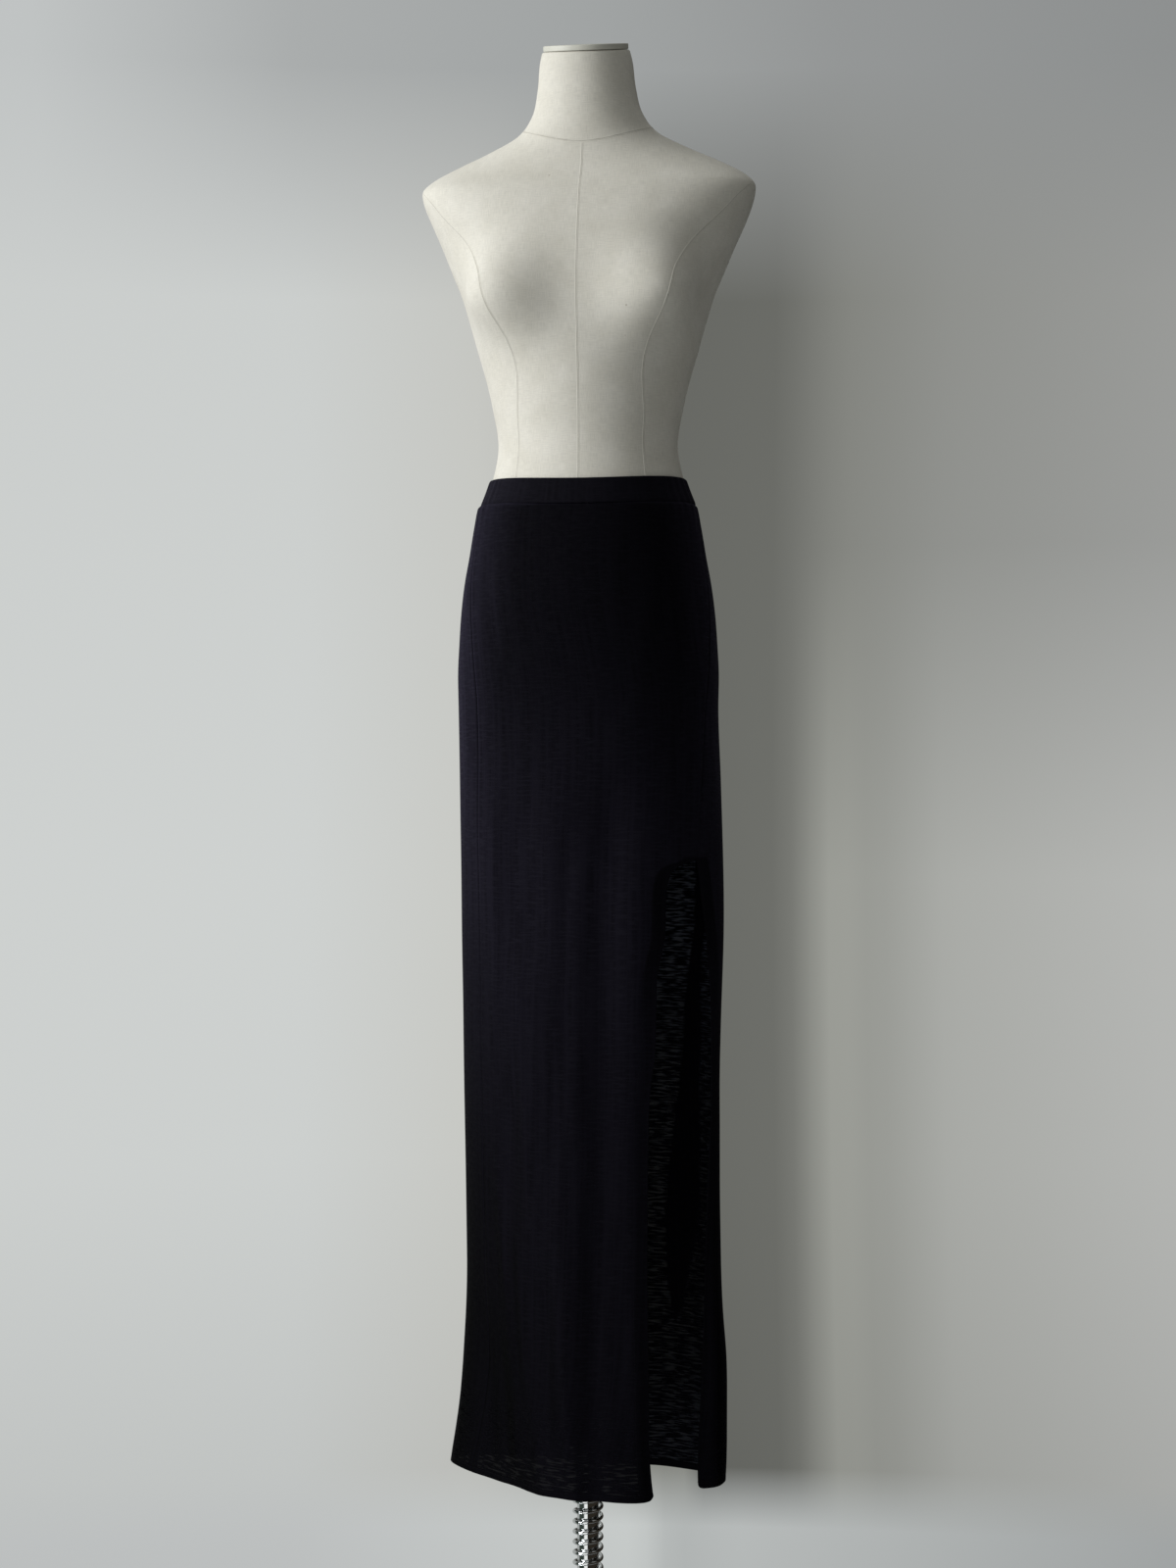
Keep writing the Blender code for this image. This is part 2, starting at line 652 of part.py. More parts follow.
def make_stand(collection):
    chrome = make_material("stand_chrome", (0.72, 0.73, 0.74), 0.12, metallic=1.0)
    steel = make_material("stand_base_chrome", (0.66, 0.67, 0.68), 0.20, metallic=1.0)
    make_base(steel, collection)
    hub_low = BASE_THICKNESS + GAP
    hub_high = hub_low + HUB_HEIGHT
    make_collar("stand_hub", hub_low, hub_high, STOP_RADIUS, chrome, collection, foot=HUB_RADIUS)
    make_pole(hub_low, FORM_BOTTOM - GAP, chrome, collection)
    points = spring_points(hub_high + WIRE_RADIUS + GAP)
    make_spring(points, chrome, collection)
    stop_low = points[-1][2] + WIRE_RADIUS + GAP
    make_collar("stand_spring_stop", stop_low, stop_low + STOP_HEIGHT, STOP_RADIUS, chrome, collection)
    socket_high = FORM_BOTTOM - GAP
    make_collar(
        "stand_form_socket", socket_high - SOCKET_HEIGHT, socket_high, SOCKET_RADIUS, chrome, collection
    )


def main():
    for obj in list(bpy.data.objects):
        bpy.data.objects.remove(obj, do_unlink=True)
    collection = bpy.data.collections.new("maxi_skirt_on_dress_form")
    bpy.context.scene.collection.children.link(collection)
    make_skirt(collection)
    make_form(collection)
    make_stand(collection)


main()
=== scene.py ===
"""The looks of a straight maxi skirt on a dress form: jersey, linen, chrome, light and camera.

Metres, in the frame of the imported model: the base stands on z = 0, the pole runs up the Z axis and
the form faces -Y. Directions about the pole are in degrees: 0 is +X, -90 the front, 90 the back.
The cloth's and the form's sections repeat the part's own tables.
"""

import math

import bpy
import numpy as np
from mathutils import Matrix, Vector


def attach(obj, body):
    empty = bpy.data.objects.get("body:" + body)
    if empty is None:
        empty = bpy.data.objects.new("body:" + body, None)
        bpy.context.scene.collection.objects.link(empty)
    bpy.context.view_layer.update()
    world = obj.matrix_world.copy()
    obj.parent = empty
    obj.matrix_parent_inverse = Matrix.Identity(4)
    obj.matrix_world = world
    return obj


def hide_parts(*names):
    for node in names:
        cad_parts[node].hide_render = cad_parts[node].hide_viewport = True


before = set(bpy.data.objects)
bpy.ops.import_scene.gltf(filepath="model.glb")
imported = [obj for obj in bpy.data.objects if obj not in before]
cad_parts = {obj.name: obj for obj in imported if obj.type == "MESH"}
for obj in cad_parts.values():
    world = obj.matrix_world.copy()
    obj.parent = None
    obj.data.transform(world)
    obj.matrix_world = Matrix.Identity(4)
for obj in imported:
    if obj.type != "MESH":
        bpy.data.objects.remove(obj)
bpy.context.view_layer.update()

MM = 0.001

# Gap between pieces that touch on the real thing, and between the panels' cloth at a side seam.
GAP = 0.0003
SEAM_GAP = 0.00012

# The part's own sizes.
SKIRT_EASE = 0.0035
LEFT_SIDE_EASE = 0.0055
BAND_CLEARANCE = 0.0005
BAND_TOP_OUT = 0.0023
BAND_FLARE = 0.0026
BAND_SEAM_GAP = 0.0003
BAND_FLARE_POWER = 0.8
HEM_HEIGHT = 0.247
SLIT_TOP = 0.965
BAND_BOTTOM = 1.364
BAND_TOP = 1.393
TOP_SIDE_LIFT = 0.0073
SEAM_SIDE_LIFT = 0.0070
LIFT_REACH = 0.060
FORM_BOTTOM = 1.130
FORM_TOP = 1.8935

FORM_COLUMNS = ("height", "half", "centre", "front", "back", "nod", "square")
FORM_SECTIONS = (
    (FORM_BOTTOM, 0.1440, 0.010, 0.104, 0.100, 0.000, 2.15),
    (1.138, 0.1468, 0.010, 0.107, 0.104, 0.000, 2.15),
    (1.175, 0.1475, 0.010, 0.109, 0.110, 0.000, 2.15),
    (1.220, 0.1453, 0.009, 0.111, 0.112, 0.000, 2.12),
    (1.266, 0.1412, 0.007, 0.110, 0.108, 0.000, 2.10),
    (1.311, 0.1333, 0.004, 0.105, 0.101, 0.000, 2.08),
    (1.357, 0.1240, 0.002, 0.099, 0.094, 0.000, 2.05),
    (BAND_TOP, 0.1130, 0.001, 0.093, 0.089, 0.000, 2.00),
    (1.440, 0.1040, 0.000, 0.089, 0.087, 0.000, 2.00),
    (1.486, 0.1110, 0.000, 0.093, 0.091, 0.000, 2.00),
    (1.516, 0.1180, 0.001, 0.098, 0.095, 0.000, 2.00),
    (1.550, 0.1278, 0.002, 0.104, 0.100, 0.000, 2.00),
    (1.585, 0.1374, 0.003, 0.110, 0.104, 0.000, 2.00),
    (1.613, 0.1460, 0.004, 0.112, 0.106, 0.000, 2.00),
    (1.643, 0.1584, 0.005, 0.111, 0.107, 0.000, 2.08),
    (1.675, 0.1714, 0.006, 0.104, 0.106, 0.000, 2.30),
    (1.700, 0.1822, 0.007, 0.097, 0.102, 0.010, 2.60),
    (1.722, 0.1910, 0.004, 0.086, 0.096, 0.030, 2.65),
    (1.737, 0.1940, 0.002, 0.077, 0.090, 0.060, 2.45),
    (1.751, 0.1830, 0.002, 0.068, 0.083, 0.100, 2.20),
    (1.767, 0.1540, 0.002, 0.061, 0.075, 0.150, 2.00),
    (1.784, 0.1160, 0.001, 0.056, 0.065, 0.195, 1.93),
    (1.801, 0.0825, -0.002, 0.053, 0.057, 0.235, 1.95),
    (1.822, 0.0648, -0.006, 0.050, 0.052, 0.265, 2.00),
    (1.850, 0.0570, -0.012, 0.048, 0.050, 0.290, 2.00),
    (1.880, 0.0535, -0.017, 0.047, 0.049, 0.300, 2.00),
    (FORM_TOP, 0.0502, -0.020, 0.046, 0.046, 0.305, 2.00),
)
BUST_HEIGHT = 1.598
BUST_DIRECTION = 42.5
BUST_RISE = 0.037
BUST_SPREAD_UP = 0.040
BUST_SPREAD_DOWN = 0.031
BUST_SPREAD_ROUND = 15.0

DRAPE_COLUMNS = (
    "height", "left", "right", "centre", "lean", "front", "back", "front_left", "front_right", "behind",
)
DRAPE_SECTIONS = (
    (1.050, 0.1512, 0.1535, 0.010, -0.010, 0.113, 0.110, 2.10, 2.10, 2.15),
    (0.900, 0.1495, 0.1570, 0.010, -0.025, 0.114, 0.103, 2.00, 2.05, 2.15),
    (0.700, 0.1480, 0.1525, 0.012, -0.050, 0.116, 0.090, 1.85, 2.00, 2.15),
    (0.500, 0.1475, 0.1542, 0.017, -0.080, 0.119, 0.070, 1.60, 1.92, 2.20),
    (0.350, 0.1580, 0.1600, 0.022, -0.108, 0.122, 0.053, 1.32, 1.85, 2.30),
    (HEM_HEIGHT, 0.1745, 0.1595, 0.027, -0.125, 0.125, 0.040, 1.20, 1.80, 2.40),
)
HIP_LEVELS = (BAND_BOTTOM, 1.340, 1.311, 1.280, 1.245, 1.210, 1.175, 1.138)

EDGE_COLUMNS = ("height", "left_seam", "front_edge", "back_edge", "front_curl", "back_curl")
EDGE_TABLE = (
    (BAND_BOTTOM, -165.0, -3.0, -3.0, 0.000, 0.000),
    (1.250, -158.0, -9.0, -9.0, 0.000, 0.000),
    (1.150, -153.0, -14.0, -14.0, 0.000, 0.000),
    (1.050, -152.5, -19.0, -19.0, 0.000, 0.000),
    (SLIT_TOP, -153.0, -23.7, -23.7, 0.000, 0.000),
    (0.957, -153.0, -33.5, -23.0, 0.001, 0.000),
    (0.944, -153.1, -37.5, -21.9, 0.002, 0.000),
    (0.925, -153.2, -38.8, -20.5, 0.003, 0.001),
    (0.880, -153.5, -39.5, -17.0, 0.003, 0.002),
    (0.830, -154.2, -44.0, -14.0, 0.003, 0.002),
    (0.760, -155.5, -44.5, -10.6, 0.003, 0.002),
    (0.690, -157.2, -47.5, -9.6, 0.003, 0.002),
    (0.610, -159.5, -48.2, -12.0, 0.003, 0.003),
    (0.530, -162.3, -48.2, -13.6, 0.003, 0.004),
    (0.450, -166.5, -48.0, -15.0, 0.003, 0.006),
    (0.380, -171.0, -47.4, -16.5, 0.004, 0.008),
    (0.310, -177.0, -46.4, -16.5, 0.005, 0.011),
    (0.270, -180.5, -44.5, -15.5, 0.006, 0.013),
    (HEM_HEIGHT, -182.5, -42.8, -14.5, 0.007, 0.014),
)
CURL_WIDTH = 0.012
FRONT_EDGES = ("left_seam", "front_edge", None, "front_curl", 0.0)
BACK_EDGES = ("back_edge", "left_seam", "back_curl", None, 360.0)

# The folds that the part has, from top to bottom: the direction of each at its two ends, how far it
# stands out of the plain section (in, where negative) and half its width.
FOLD_COLUMNS = ("top", "bottom", "at_top", "at_bottom", "rise", "width")
FOLDS = (
    (1.10, 0.20, -68.0, -81.0, -0.0065, 0.016),
    (1.09, 0.74, -107.0, -107.0, 0.0035, 0.015),
    (0.92, 0.20, -128.0, -121.0, 0.0055, 0.017),
    (1.09, 0.74, -144.0, -143.0, 0.0035, 0.015),
    (0.78, 0.56, -134.0, -134.0, -0.0035, 0.013),
    (0.58, 0.30, -116.0, -116.0, -0.0040, 0.012),
    (0.64, 0.32, -104.0, -104.0, 0.0040, 0.014),
    (1.02, 0.76, -62.0, -60.0, 0.0040, 0.020),
    (0.50, 0.24, -168.0, -172.0, -0.0050, 0.013),
    (1.06, 0.20, 118.0, 110.0, -0.0070, 0.019),
    (1.02, 0.20, 92.0, 88.0, 0.0050, 0.018),
    (0.96, 0.20, 68.0, 60.0, -0.0070, 0.018),
    (0.90, 0.20, 46.0, 34.0, 0.0050, 0.017),
    (1.00, 0.36, 142.0, 139.0, 0.0045, 0.019),
)
FOLD_FADE = 0.12

# Smaller creases that only the cloth's own mesh has, in the same columns: down the front first, then
# the drag lines over the hips, then the back.
CREASES = (
    (1.02, 0.70, -96.0, -97.0, -0.0016, 0.0070),
    (0.98, 0.62, -91.0, -94.0, 0.0013, 0.0090),
    (0.88, 0.61, -115.0, -118.0, 0.0014, 0.0065),
    (0.76, 0.60, -131.0, -136.0, -0.0019, 0.0070),
    (0.66, 0.44, -88.0, -89.0, 0.0009, 0.0050),
    (0.66, 0.24, -148.0, -143.0, 0.0020, 0.0085),
    (0.60, 0.24, -64.0, -61.0, -0.0013, 0.0080),
    (0.52, 0.26, -109.0, -112.0, -0.0016, 0.0060),
    (0.50, 0.24, -56.0, -53.0, 0.0014, 0.0070),
    (0.46, 0.22, -158.0, -155.0, -0.0018, 0.0075),
    (0.40, 0.22, -97.0, -95.0, 0.0013, 0.0060),
    (0.34, 0.20, -130.0, -127.0, -0.0012, 0.0060),
    (1.07, 0.76, -140.0, -141.0, 0.0012, 0.0048),
    (0.88, 0.58, -124.5, -124.0, 0.0011, 0.0042),
    (0.80, 0.66, -132.5, -132.0, 0.0009, 0.0036),
    (0.79, 0.60, -110.5, -110.0, 0.0010, 0.0042),
    (0.69, 0.44, -145.5, -146.0, 0.0012, 0.0044),
    (0.57, 0.34, -132.0, -132.5, 0.0011, 0.0042),
    (0.55, 0.34, -116.5, -117.0, 0.0010, 0.0040),
    (0.68, 0.54, -101.0, -101.5, 0.0010, 0.0042),
    (0.44, 0.31, -99.0, -99.5, 0.0009, 0.0038),
    (0.94, 0.82, -118.0, -117.0, -0.0007, 0.0038),
    (0.73, 0.62, -96.0, -95.0, -0.0007, 0.0036),
    (0.49, 0.37, -73.0, -72.0, 0.0008, 0.0042),
    (1.33, 1.16, -150.0, -137.0, -0.0007, 0.0070),
    (1.30, 1.08, -128.0, -119.0, 0.0007, 0.0080),
    (1.28, 1.02, -163.0, -150.0, -0.0010, 0.0090),
    (1.34, 1.18, -32.0, -45.0, -0.0007, 0.0070),
    (1.31, 1.06, -48.0, -58.0, 0.0008, 0.0085),
    (1.24, 0.98, -22.0, -31.0, -0.0011, 0.0080),
    (1.33, 1.15, 24.0, 38.0, -0.0008, 0.0075),
    (1.29, 1.05, 44.0, 56.0, 0.0008, 0.0090),
    (1.32, 1.12, 158.0, 143.0, -0.0008, 0.0075),
    (1.27, 1.03, 133.0, 124.0, 0.0009, 0.0090),
    (1.12, 0.80, 14.0, 19.0, -0.0015, 0.0080),
    (1.08, 0.66, 168.0, 164.0, 0.0017, 0.0090),
    (1.04, 0.72, 80.0, 79.0, -0.0016, 0.0075),
    (0.97, 0.62, 104.0, 101.0, 0.0015, 0.0080),
    (0.90, 0.55, 131.0, 128.0, -0.0018, 0.0080),
    (0.86, 0.44, 56.0, 51.0, 0.0016, 0.0080),
    (0.78, 0.36, 22.0, 17.0, -0.0019, 0.0085),
    (0.74, 0.42, 153.0, 150.0, -0.0016, 0.0075),
    (0.66, 0.24, 76.0, 73.0, -0.0017, 0.0070),
    (0.58, 0.24, 98.0, 95.0, 0.0014, 0.0065),
    (0.55, 0.22, 121.0, 126.0, 0.0018, 0.0085),
    (0.50, 0.22, 43.0, 47.0, -0.0017, 0.0070),
    (0.45, 0.22, 4.0, 1.0, 0.0016, 0.0080),
    (0.43, 0.22, 162.0, 168.0, -0.0016, 0.0080),
    (0.36, 0.20, 88.0, 84.0, -0.0013, 0.0060),
    (0.33, 0.20, 145.0, 148.0, 0.0014, 0.0065),
    (1.00, 0.76, 30.0, 31.0, 0.0010, 0.0045),
    (0.92, 0.70, 98.0, 97.0, 0.0009, 0.0042),
    (0.84, 0.60, 148.0, 147.0, 0.0011, 0.0045),
    (0.80, 0.62, 62.0, 61.0, 0.0010, 0.0042),
    (0.71, 0.50, 112.0, 112.5, 0.0010, 0.0044),
    (0.62, 0.44, 157.0, 156.0, 0.0010, 0.0042),
    (0.52, 0.36, 66.0, 66.5, 0.0009, 0.0040),
    (0.47, 0.30, 104.0, 105.0, -0.0009, 0.0040),
    (0.41, 0.28, 133.0, 133.5, 0.0010, 0.0042),
)
CREASE_FADE = 0.07

# A flat pleat on the back panel that shows through the slit: between which directions it lies.
PLEAT_COLUMNS = ("height", "from", "to")
PLEAT = (
    (0.965, 24.0, 34.0),
    (0.864, 27.5, 33.9),
    (0.818, 28.0, 37.5),
    (0.760, 25.5, 38.3),
    (0.700, 25.0, 39.0),
    (0.645, 23.4, 41.3),
    (0.586, 22.5, 43.0),
    (0.540, 22.0, 42.9),
    (0.482, 27.3, 40.4),
    (0.440, 30.5, 37.5),
    (0.405, 34.8, 33.0),
    (HEM_HEIGHT, 34.8, 33.0),
)
PLEAT_LAYERS = 0.0011
PLEAT_EDGE = 0.0014

# By height: the light and shade painted into the panels' cloth, painted darkest where it is stretched
# over the hips; the sheen painted onto it at a grazing view, with painted edge shade where negative;
# and the light painted into its slubs on the inside behind the slit, least where the light reaches it least.
CLOTH_COLUMNS = ("height", "tone_and_painted_light", "painted_edge_light", "slubs")
CLOTH_TABLE = (
    (BAND_BOTTOM, 0.46, 1.00, 2.80),
    (1.270, 0.48, 1.00, 2.80),
    (1.180, 0.64, 0.70, 2.80),
    (1.100, 0.88, 0.42, 2.80),
    (1.020, 1.10, 0.20, 2.80),
    (0.940, 1.26, 0.08, 2.75),
    (0.866, 1.20, 0.00, 2.15),
    (0.783, 1.07, -0.05, 1.25),
    (0.677, 0.92, -0.12, 0.65),
    (0.552, 0.76, -0.20, 0.45),
    (0.410, 0.64, -0.26, 0.33),
    (0.300, 0.57, -0.28, 0.72),
    (HEM_HEIGHT, 0.54, -0.28, 0.80),
)
# The panels let light through at their slubs: the front one only just above its hem.
OPEN_ABOVE_HEM = 0.36
# The slit's turned edge lies in its own shade near the slit's top.
EDGE_SHADE = 0.55
EDGE_SHADE_END = 0.76
EDGE_SHADE_FADE = 0.14

# The waistband's gathers, as the part has them, and how uneven each is here.
GATHER_HALF_SPAN = 34.0
GATHER_COUNT = 11
GATHER_RISE = 0.0009
GATHER_UNEVENNESS = 0.45

# Cloth: one layer, the turned hem, the turned edge of the slit and the doubled waistband.
LAYER = 0.55 * MM
HEM_LAYERS = 1.15 * MM
SLIT_LAYERS = 1.05 * MM
HEM_DEPTH = 0.0075
SLIT_FACING = 0.0195
TURN_WIDTH = 0.0006
# The share of its thickness by which each side of the cloth is drawn in at a panel's rims.
RIM_THINNING = 0.28
# The stitches, and how far their rows lie from the hem and from the slit's edge.
STITCH_PITCH = 0.0030
STITCH_LENGTH = 0.0024
STITCH_RADIUS = 0.00022
STITCH_SIDES = 6
HEM_STITCHES = 0.0064
SLIT_STITCHES = SLIT_FACING - 0.0013
# The waistband's own tone, its painted sheen at a grazing view, and no painted slub light.
BAND_TONE_AND_SHEEN = (0.92, 0.3, 0.0)
# The waistband's mean radius and height, for the place of its points on the flat cloth.
BAND_RADIUS = 0.108
BAND_DEPTH = 0.028
# The light painted into the slubs on the inside, and how much light each side of the cloth lets through
# there.
INNER_SLUB_PAINTED_LIGHT = (0.034, 0.040, 0.056)
SLUB_PASSES = 0.12
# The linen's flecks, and the darker stitched lines of its seams, which also paint the shade in their
# grooves.
FLECK_COLOR = (0.30, 0.25, 0.18, 1.0)
SEAM_LINE_AND_SHADE_COLOR = (0.20, 0.175, 0.135, 1.0)
# The hem's rounded corner at the slit, and how far above the hem it fades out.
CORNER_RADIUS = 0.007
CORNER_FADE = 0.010
# How far the panels puff out at the sides just under the waistband's seam.
SEAM_PUFF = 0.0006
# Which part of the back panel is seen from inside through the slit, as directions.
INSIDE_SEEN = (4.0, 76.0)

# Columns of a panel from its slit edge and from its side seam, and its rows from the waistband and
# from the hem, as distances; between them the spacing is even.
SLIT_STATIONS = (GAP / 2, 0.0006, 0.0016, 0.0035, 0.006, 0.009, 0.012, 0.0150, 0.0172, 0.0182, 0.0192,
                 0.0198, 0.0208, 0.0226)
SEAM_STATIONS = (SEAM_GAP / 2, 0.0005, 0.0011, 0.0018, 0.0026, 0.0036, 0.0050, 0.0070, 0.0095)
WAIST_STATIONS = (0.0, 0.0005, 0.0012, 0.0021, 0.0032, 0.0048, 0.0070, 0.0100, 0.0140)
HEM_STATIONS = (0.0, 0.0004, 0.0014, 0.0030, 0.0048, 0.0058, 0.0066, 0.0072, 0.0078, 0.0088, 0.0110,
                0.0150)
FRONT_COLUMNS = 122
BACK_COLUMNS = 138
ROW_SPACING = 0.006
PLAN_STEPS = 1200

# The chrome stand and the neck cap, as the part has them.
POLE_RADIUS = 0.0125
BASE_RADIUS = 0.210
BASE_THICKNESS = 0.014
HUB_HEIGHT = 0.038
HUB_RADIUS = 0.030
WIRE_RADIUS = 0.0022
SPRING_RADIUS = 0.0158
SPRING_PITCH = 0.0119
SPRING_TURNS = 20
SPRING_STEPS = 48
COARSE_STEPS = 10
STOP_HEIGHT = 0.012
STOP_RADIUS = 0.0215
SOCKET_HEIGHT = 0.012
SOCKET_RADIUS = 0.036
BASE_PROFILE = ((0.0, 1.0), (0.215, 1.0), (0.62, 0.84), (0.93, 0.46), (0.985, 0.28), (1.0, 0.10), (1.0, 0.0))
CAP_RADIUS = 0.0490
CAP_THICKNESS = 0.0065

# The form's seams: how far round from the front, or from the back, the princess seams run at a height.
PRINCESS_COLUMNS = ("height", "front", "back")
PRINCESS_SEAM = (
    (1.7440, 87.0, 84.0),
    (1.7250, 77.5, 74.0),
    (1.7000, 70.0, 66.0),
    (1.6800, 64.5, 60.0),
    (1.6600, 57.5, 54.5),
    (1.6400, 50.0, 50.5),
    (1.6240, 45.0, 48.0),
    (1.6000, 41.7, 45.5),
    (1.5750, 41.0, 44.0),
    (1.5350, 41.3, 42.5),
    (1.5150, 42.2, 42.0),
    (1.4970, 44.0, 42.0),
    (1.4560, 47.5, 43.0),
    (1.4040, 47.0, 43.0),
    (1.3500, 46.0, 43.0),
    (1.2500, 45.0, 42.0),
    (FORM_BOTTOM, 44.0, 41.0),
)
NECK_SEAM_HEIGHT = 1.7925
NECK_SEAM_RISE = 0.0145
SIDE_SEAM_TOP = 1.715
PRINCESS_SEAM_TOP = 1.742
SEAM_STEP = 0.005
# About how far one degree reaches round the form.
FORM_RUN_PER_DEGREE = 0.0022
# The centre seams stand up less than the others.
CENTRE_SEAM_RAISED = 0.4
# A seam's section: (sideways, out, how much of the seam's darker colour it takes, most in the groove: a
# stitched line that is partly painted groove shade).
WELT_PROFILE = (
    (-0.0017, -0.00020, 0.0),
    (-0.0011, 0.00024, 0.0),
    (-0.0005, 0.00034, 0.0),
    (-0.00022, 0.00016, 0.35),
    (0.0, 0.00005, 0.5),
    (0.00022, 0.00016, 0.35),
    (0.0005, 0.00034, 0.0),
    (0.0011, 0.00024, 0.0),
    (0.0017, -0.00020, 0.0),
)

FULL_TURN = 2 * math.pi
OUTLINE_STEPS = 720

# The photograph's camera.
CAMERA_DISTANCE = 2.73
CAMERA_AZIMUTH = math.radians(7.0)
CAMERA_HEIGHT = 1.05
CAMERA_LENS = 54.09
FILM_HEIGHT = 36.0

# The wall as the camera sees it, from its left (0) to its right (1): beside the form, where the form's
# soft shadow lies right of the middle, above the form and near the floor.
WALL_BESIDE_FORM = (
    (0.0, (0.60, 0.62, 0.62)),
    (0.44, (0.62, 0.640, 0.630)),
    (0.478, (0.58, 0.585, 0.555)),
    (0.500, (0.46, 0.47, 0.445)),
    (0.510, (0.165, 0.168, 0.154)),
    (0.514, (0.140, 0.143, 0.130)),
    (0.540, (0.150, 0.153, 0.139)),
    (0.553, (0.235, 0.239, 0.219)),
    (0.575, (0.285, 0.290, 0.275)),
    (0.62, (0.33, 0.335, 0.325)),
    (1.0, (0.16, 0.165, 0.17)),
)
WALL_ABOVE_FORM = (
    (0.0, (0.60, 0.62, 0.62)),
    (0.39, (0.55, 0.57, 0.57)),
    (0.44, (0.42, 0.435, 0.435)),
    (0.50, (0.37, 0.385, 0.385)),
    (0.55, (0.31, 0.32, 0.32)),
    (0.62, (0.28, 0.29, 0.29)),
    (1.0, (0.16, 0.165, 0.17)),
)
WALL_NEAR_FLOOR = (
    (0.0, (0.60, 0.62, 0.62)),
    (0.44, (0.61, 0.63, 0.63)),
    (0.510, (0.68, 0.71, 0.70)),
    (0.517, (0.52, 0.545, 0.54)),
    (0.53, (0.56, 0.585, 0.58)),
    (0.62, (0.42, 0.44, 0.44)),
    (1.0, (0.16, 0.165, 0.17)),
)
# How light the wall is, from low (0) to high (1).
WALL_BY_HEIGHT = ((0.0, 0.78), (0.12, 0.86), (0.32, 0.98), (0.52, 1.0), (1.0, 0.96))
# How much lighter the wall is behind the slit and at the right once it is below the form's waist.
WALL_LOW = (
    (0.500, 1.0), (0.512, 1.9), (0.5205, 1.93), (0.5225, 1.0), (0.542, 1.03), (0.550, 1.50), (0.560, 1.25),
    (0.575, 1.40),
)
# The light the room gives, from the camera's left to its right.
ROOM_LIGHT = (
    (0.0, (0.60, 0.62, 0.62)),
    (0.44, (0.62, 0.645, 0.64)),
    (0.50, (0.53, 0.555, 0.55)),
    (0.55, (0.25, 0.26, 0.255)),
    (0.62, (0.34, 0.345, 0.335)),
    (1.0, (0.17, 0.175, 0.17)),
)
# How much more light comes from straight overhead.
OVERHEAD_LIGHT = 0.75
# What the chrome mirrors, round from the wall behind the form by its left side (0) to the camera (0.5)
# and by its right side back to the wall (1): a dark doorway, a bright window and a dark room.
MIRRORED_ROOM = (
    (0.0, (0.42, 0.44, 0.43)),
    (0.19, (0.46, 0.48, 0.47)),
    (0.22, (0.045, 0.060, 0.050)),
    (0.37, (0.050, 0.066, 0.056)),
    (0.40, (1.10, 1.12, 1.10)),
    (0.475, (1.00, 1.02, 1.00)),
    (0.495, (0.030, 0.025, 0.019)),
    (0.90, (0.030, 0.025, 0.019)),
    (1.0, (0.20, 0.20, 0.19)),
)
# What it mirrors from overhead.
MIRRORED_CEILING = (0.34, 0.35, 0.345, 1.0)

# The floor, and how far it reaches behind the stand.
FLOOR_RADIUS = 2.4
FLOOR_BEHIND = 0.40
FLOOR_SIDES = 128


# Sections


def column(table, names, name):
    """One named column of a table, in order of rising height."""
    rows = sorted(table)
    return np.array([row[names.index(name)] for row in rows])


def hermite(t, low, high, rise, fall):
    """A cubic's value at t, from 0 to 1, given its two ends and the slopes there."""
    return (
        (1 + 2 * t) * (1 - t) ** 2 * low
        + t * (1 - t) ** 2 * rise
        + t * t * (3 - 2 * t) * high
        + t * t * (t - 1) * fall
    )


def curve_value(height, heights, values, tangents):
    """The value at a height of a smooth curve through the values, with these slopes."""
    height = min(max(height, heights[0]), heights[-1])
    below = min(int(np.searchsorted(heights, height, side="right")) - 1, len(heights) - 2)
    span = heights[below + 1] - heights[below]
    rise, fall = span * tangents[below : below + 2]
    return float(hermite((height - heights[below]) / span, values[below], values[below + 1], rise, fall))


def smooth_value(height, heights, values):
    """A smooth curve through a table's column: cubic between rows, with averaged slopes."""
    slopes = np.diff(values) / np.diff(heights)
    tangents = np.concatenate(([slopes[0]], (slopes[1:] + slopes[:-1]) / 2, [slopes[-1]]))
    turning = np.concatenate(([False], slopes[1:] * slopes[:-1] <= 0, [False]))
    return curve_value(height, heights, values, np.where(turning, 0.0, tangents))


def row_at(height, table, names):
    """Every column of a table at a height, by name."""
    heights = column(table, names, "height")
    return {name: smooth_value(height, heights, column(table, names, name)) for name in names}


def form_row(height):
    return row_at(height, FORM_SECTIONS, FORM_COLUMNS)


def hip_row(height):
    """The form's section as a row of the drape table, let out by the skirt's ease."""
    form = form_row(height)
    right = form["half"] + SKIRT_EASE
    left = form["half"] + LEFT_SIDE_EASE
    front = form["front"] + SKIRT_EASE
    back = form["back"] + SKIRT_EASE
    square = form["square"]
    return (height, left, right, form["centre"], 0.0, front, back, square, square, square)


SKIRT_SECTIONS = tuple(hip_row(height) for height in HIP_LEVELS) + DRAPE_SECTIONS


def outline(left, right, centre, lean, front, back, powers):
    """Directions and radii round a section of four quarter superellipses, closed and in order."""
    turn = np.linspace(0, FULL_TURN, OUTLINE_STEPS, endpoint=False)
    across = np.cos(turn)
    along = np.sin(turn)
    in_front = along < 0
    power = np.where(in_front, np.where(across < 0, powers[0], powers[1]), powers[2])
    x = np.where(across < 0, left, right) * np.sign(across) * np.abs(across) ** (2 / power)
    y = np.where(in_front, front, back) * np.sign(along) * np.abs(along) ** (2 / power)
    y = y + centre + lean * x
    directions = np.degrees(np.arctan2(y, x)) % 360
    order = np.argsort(directions)
    return directions[order], np.hypot(x, y)[order]


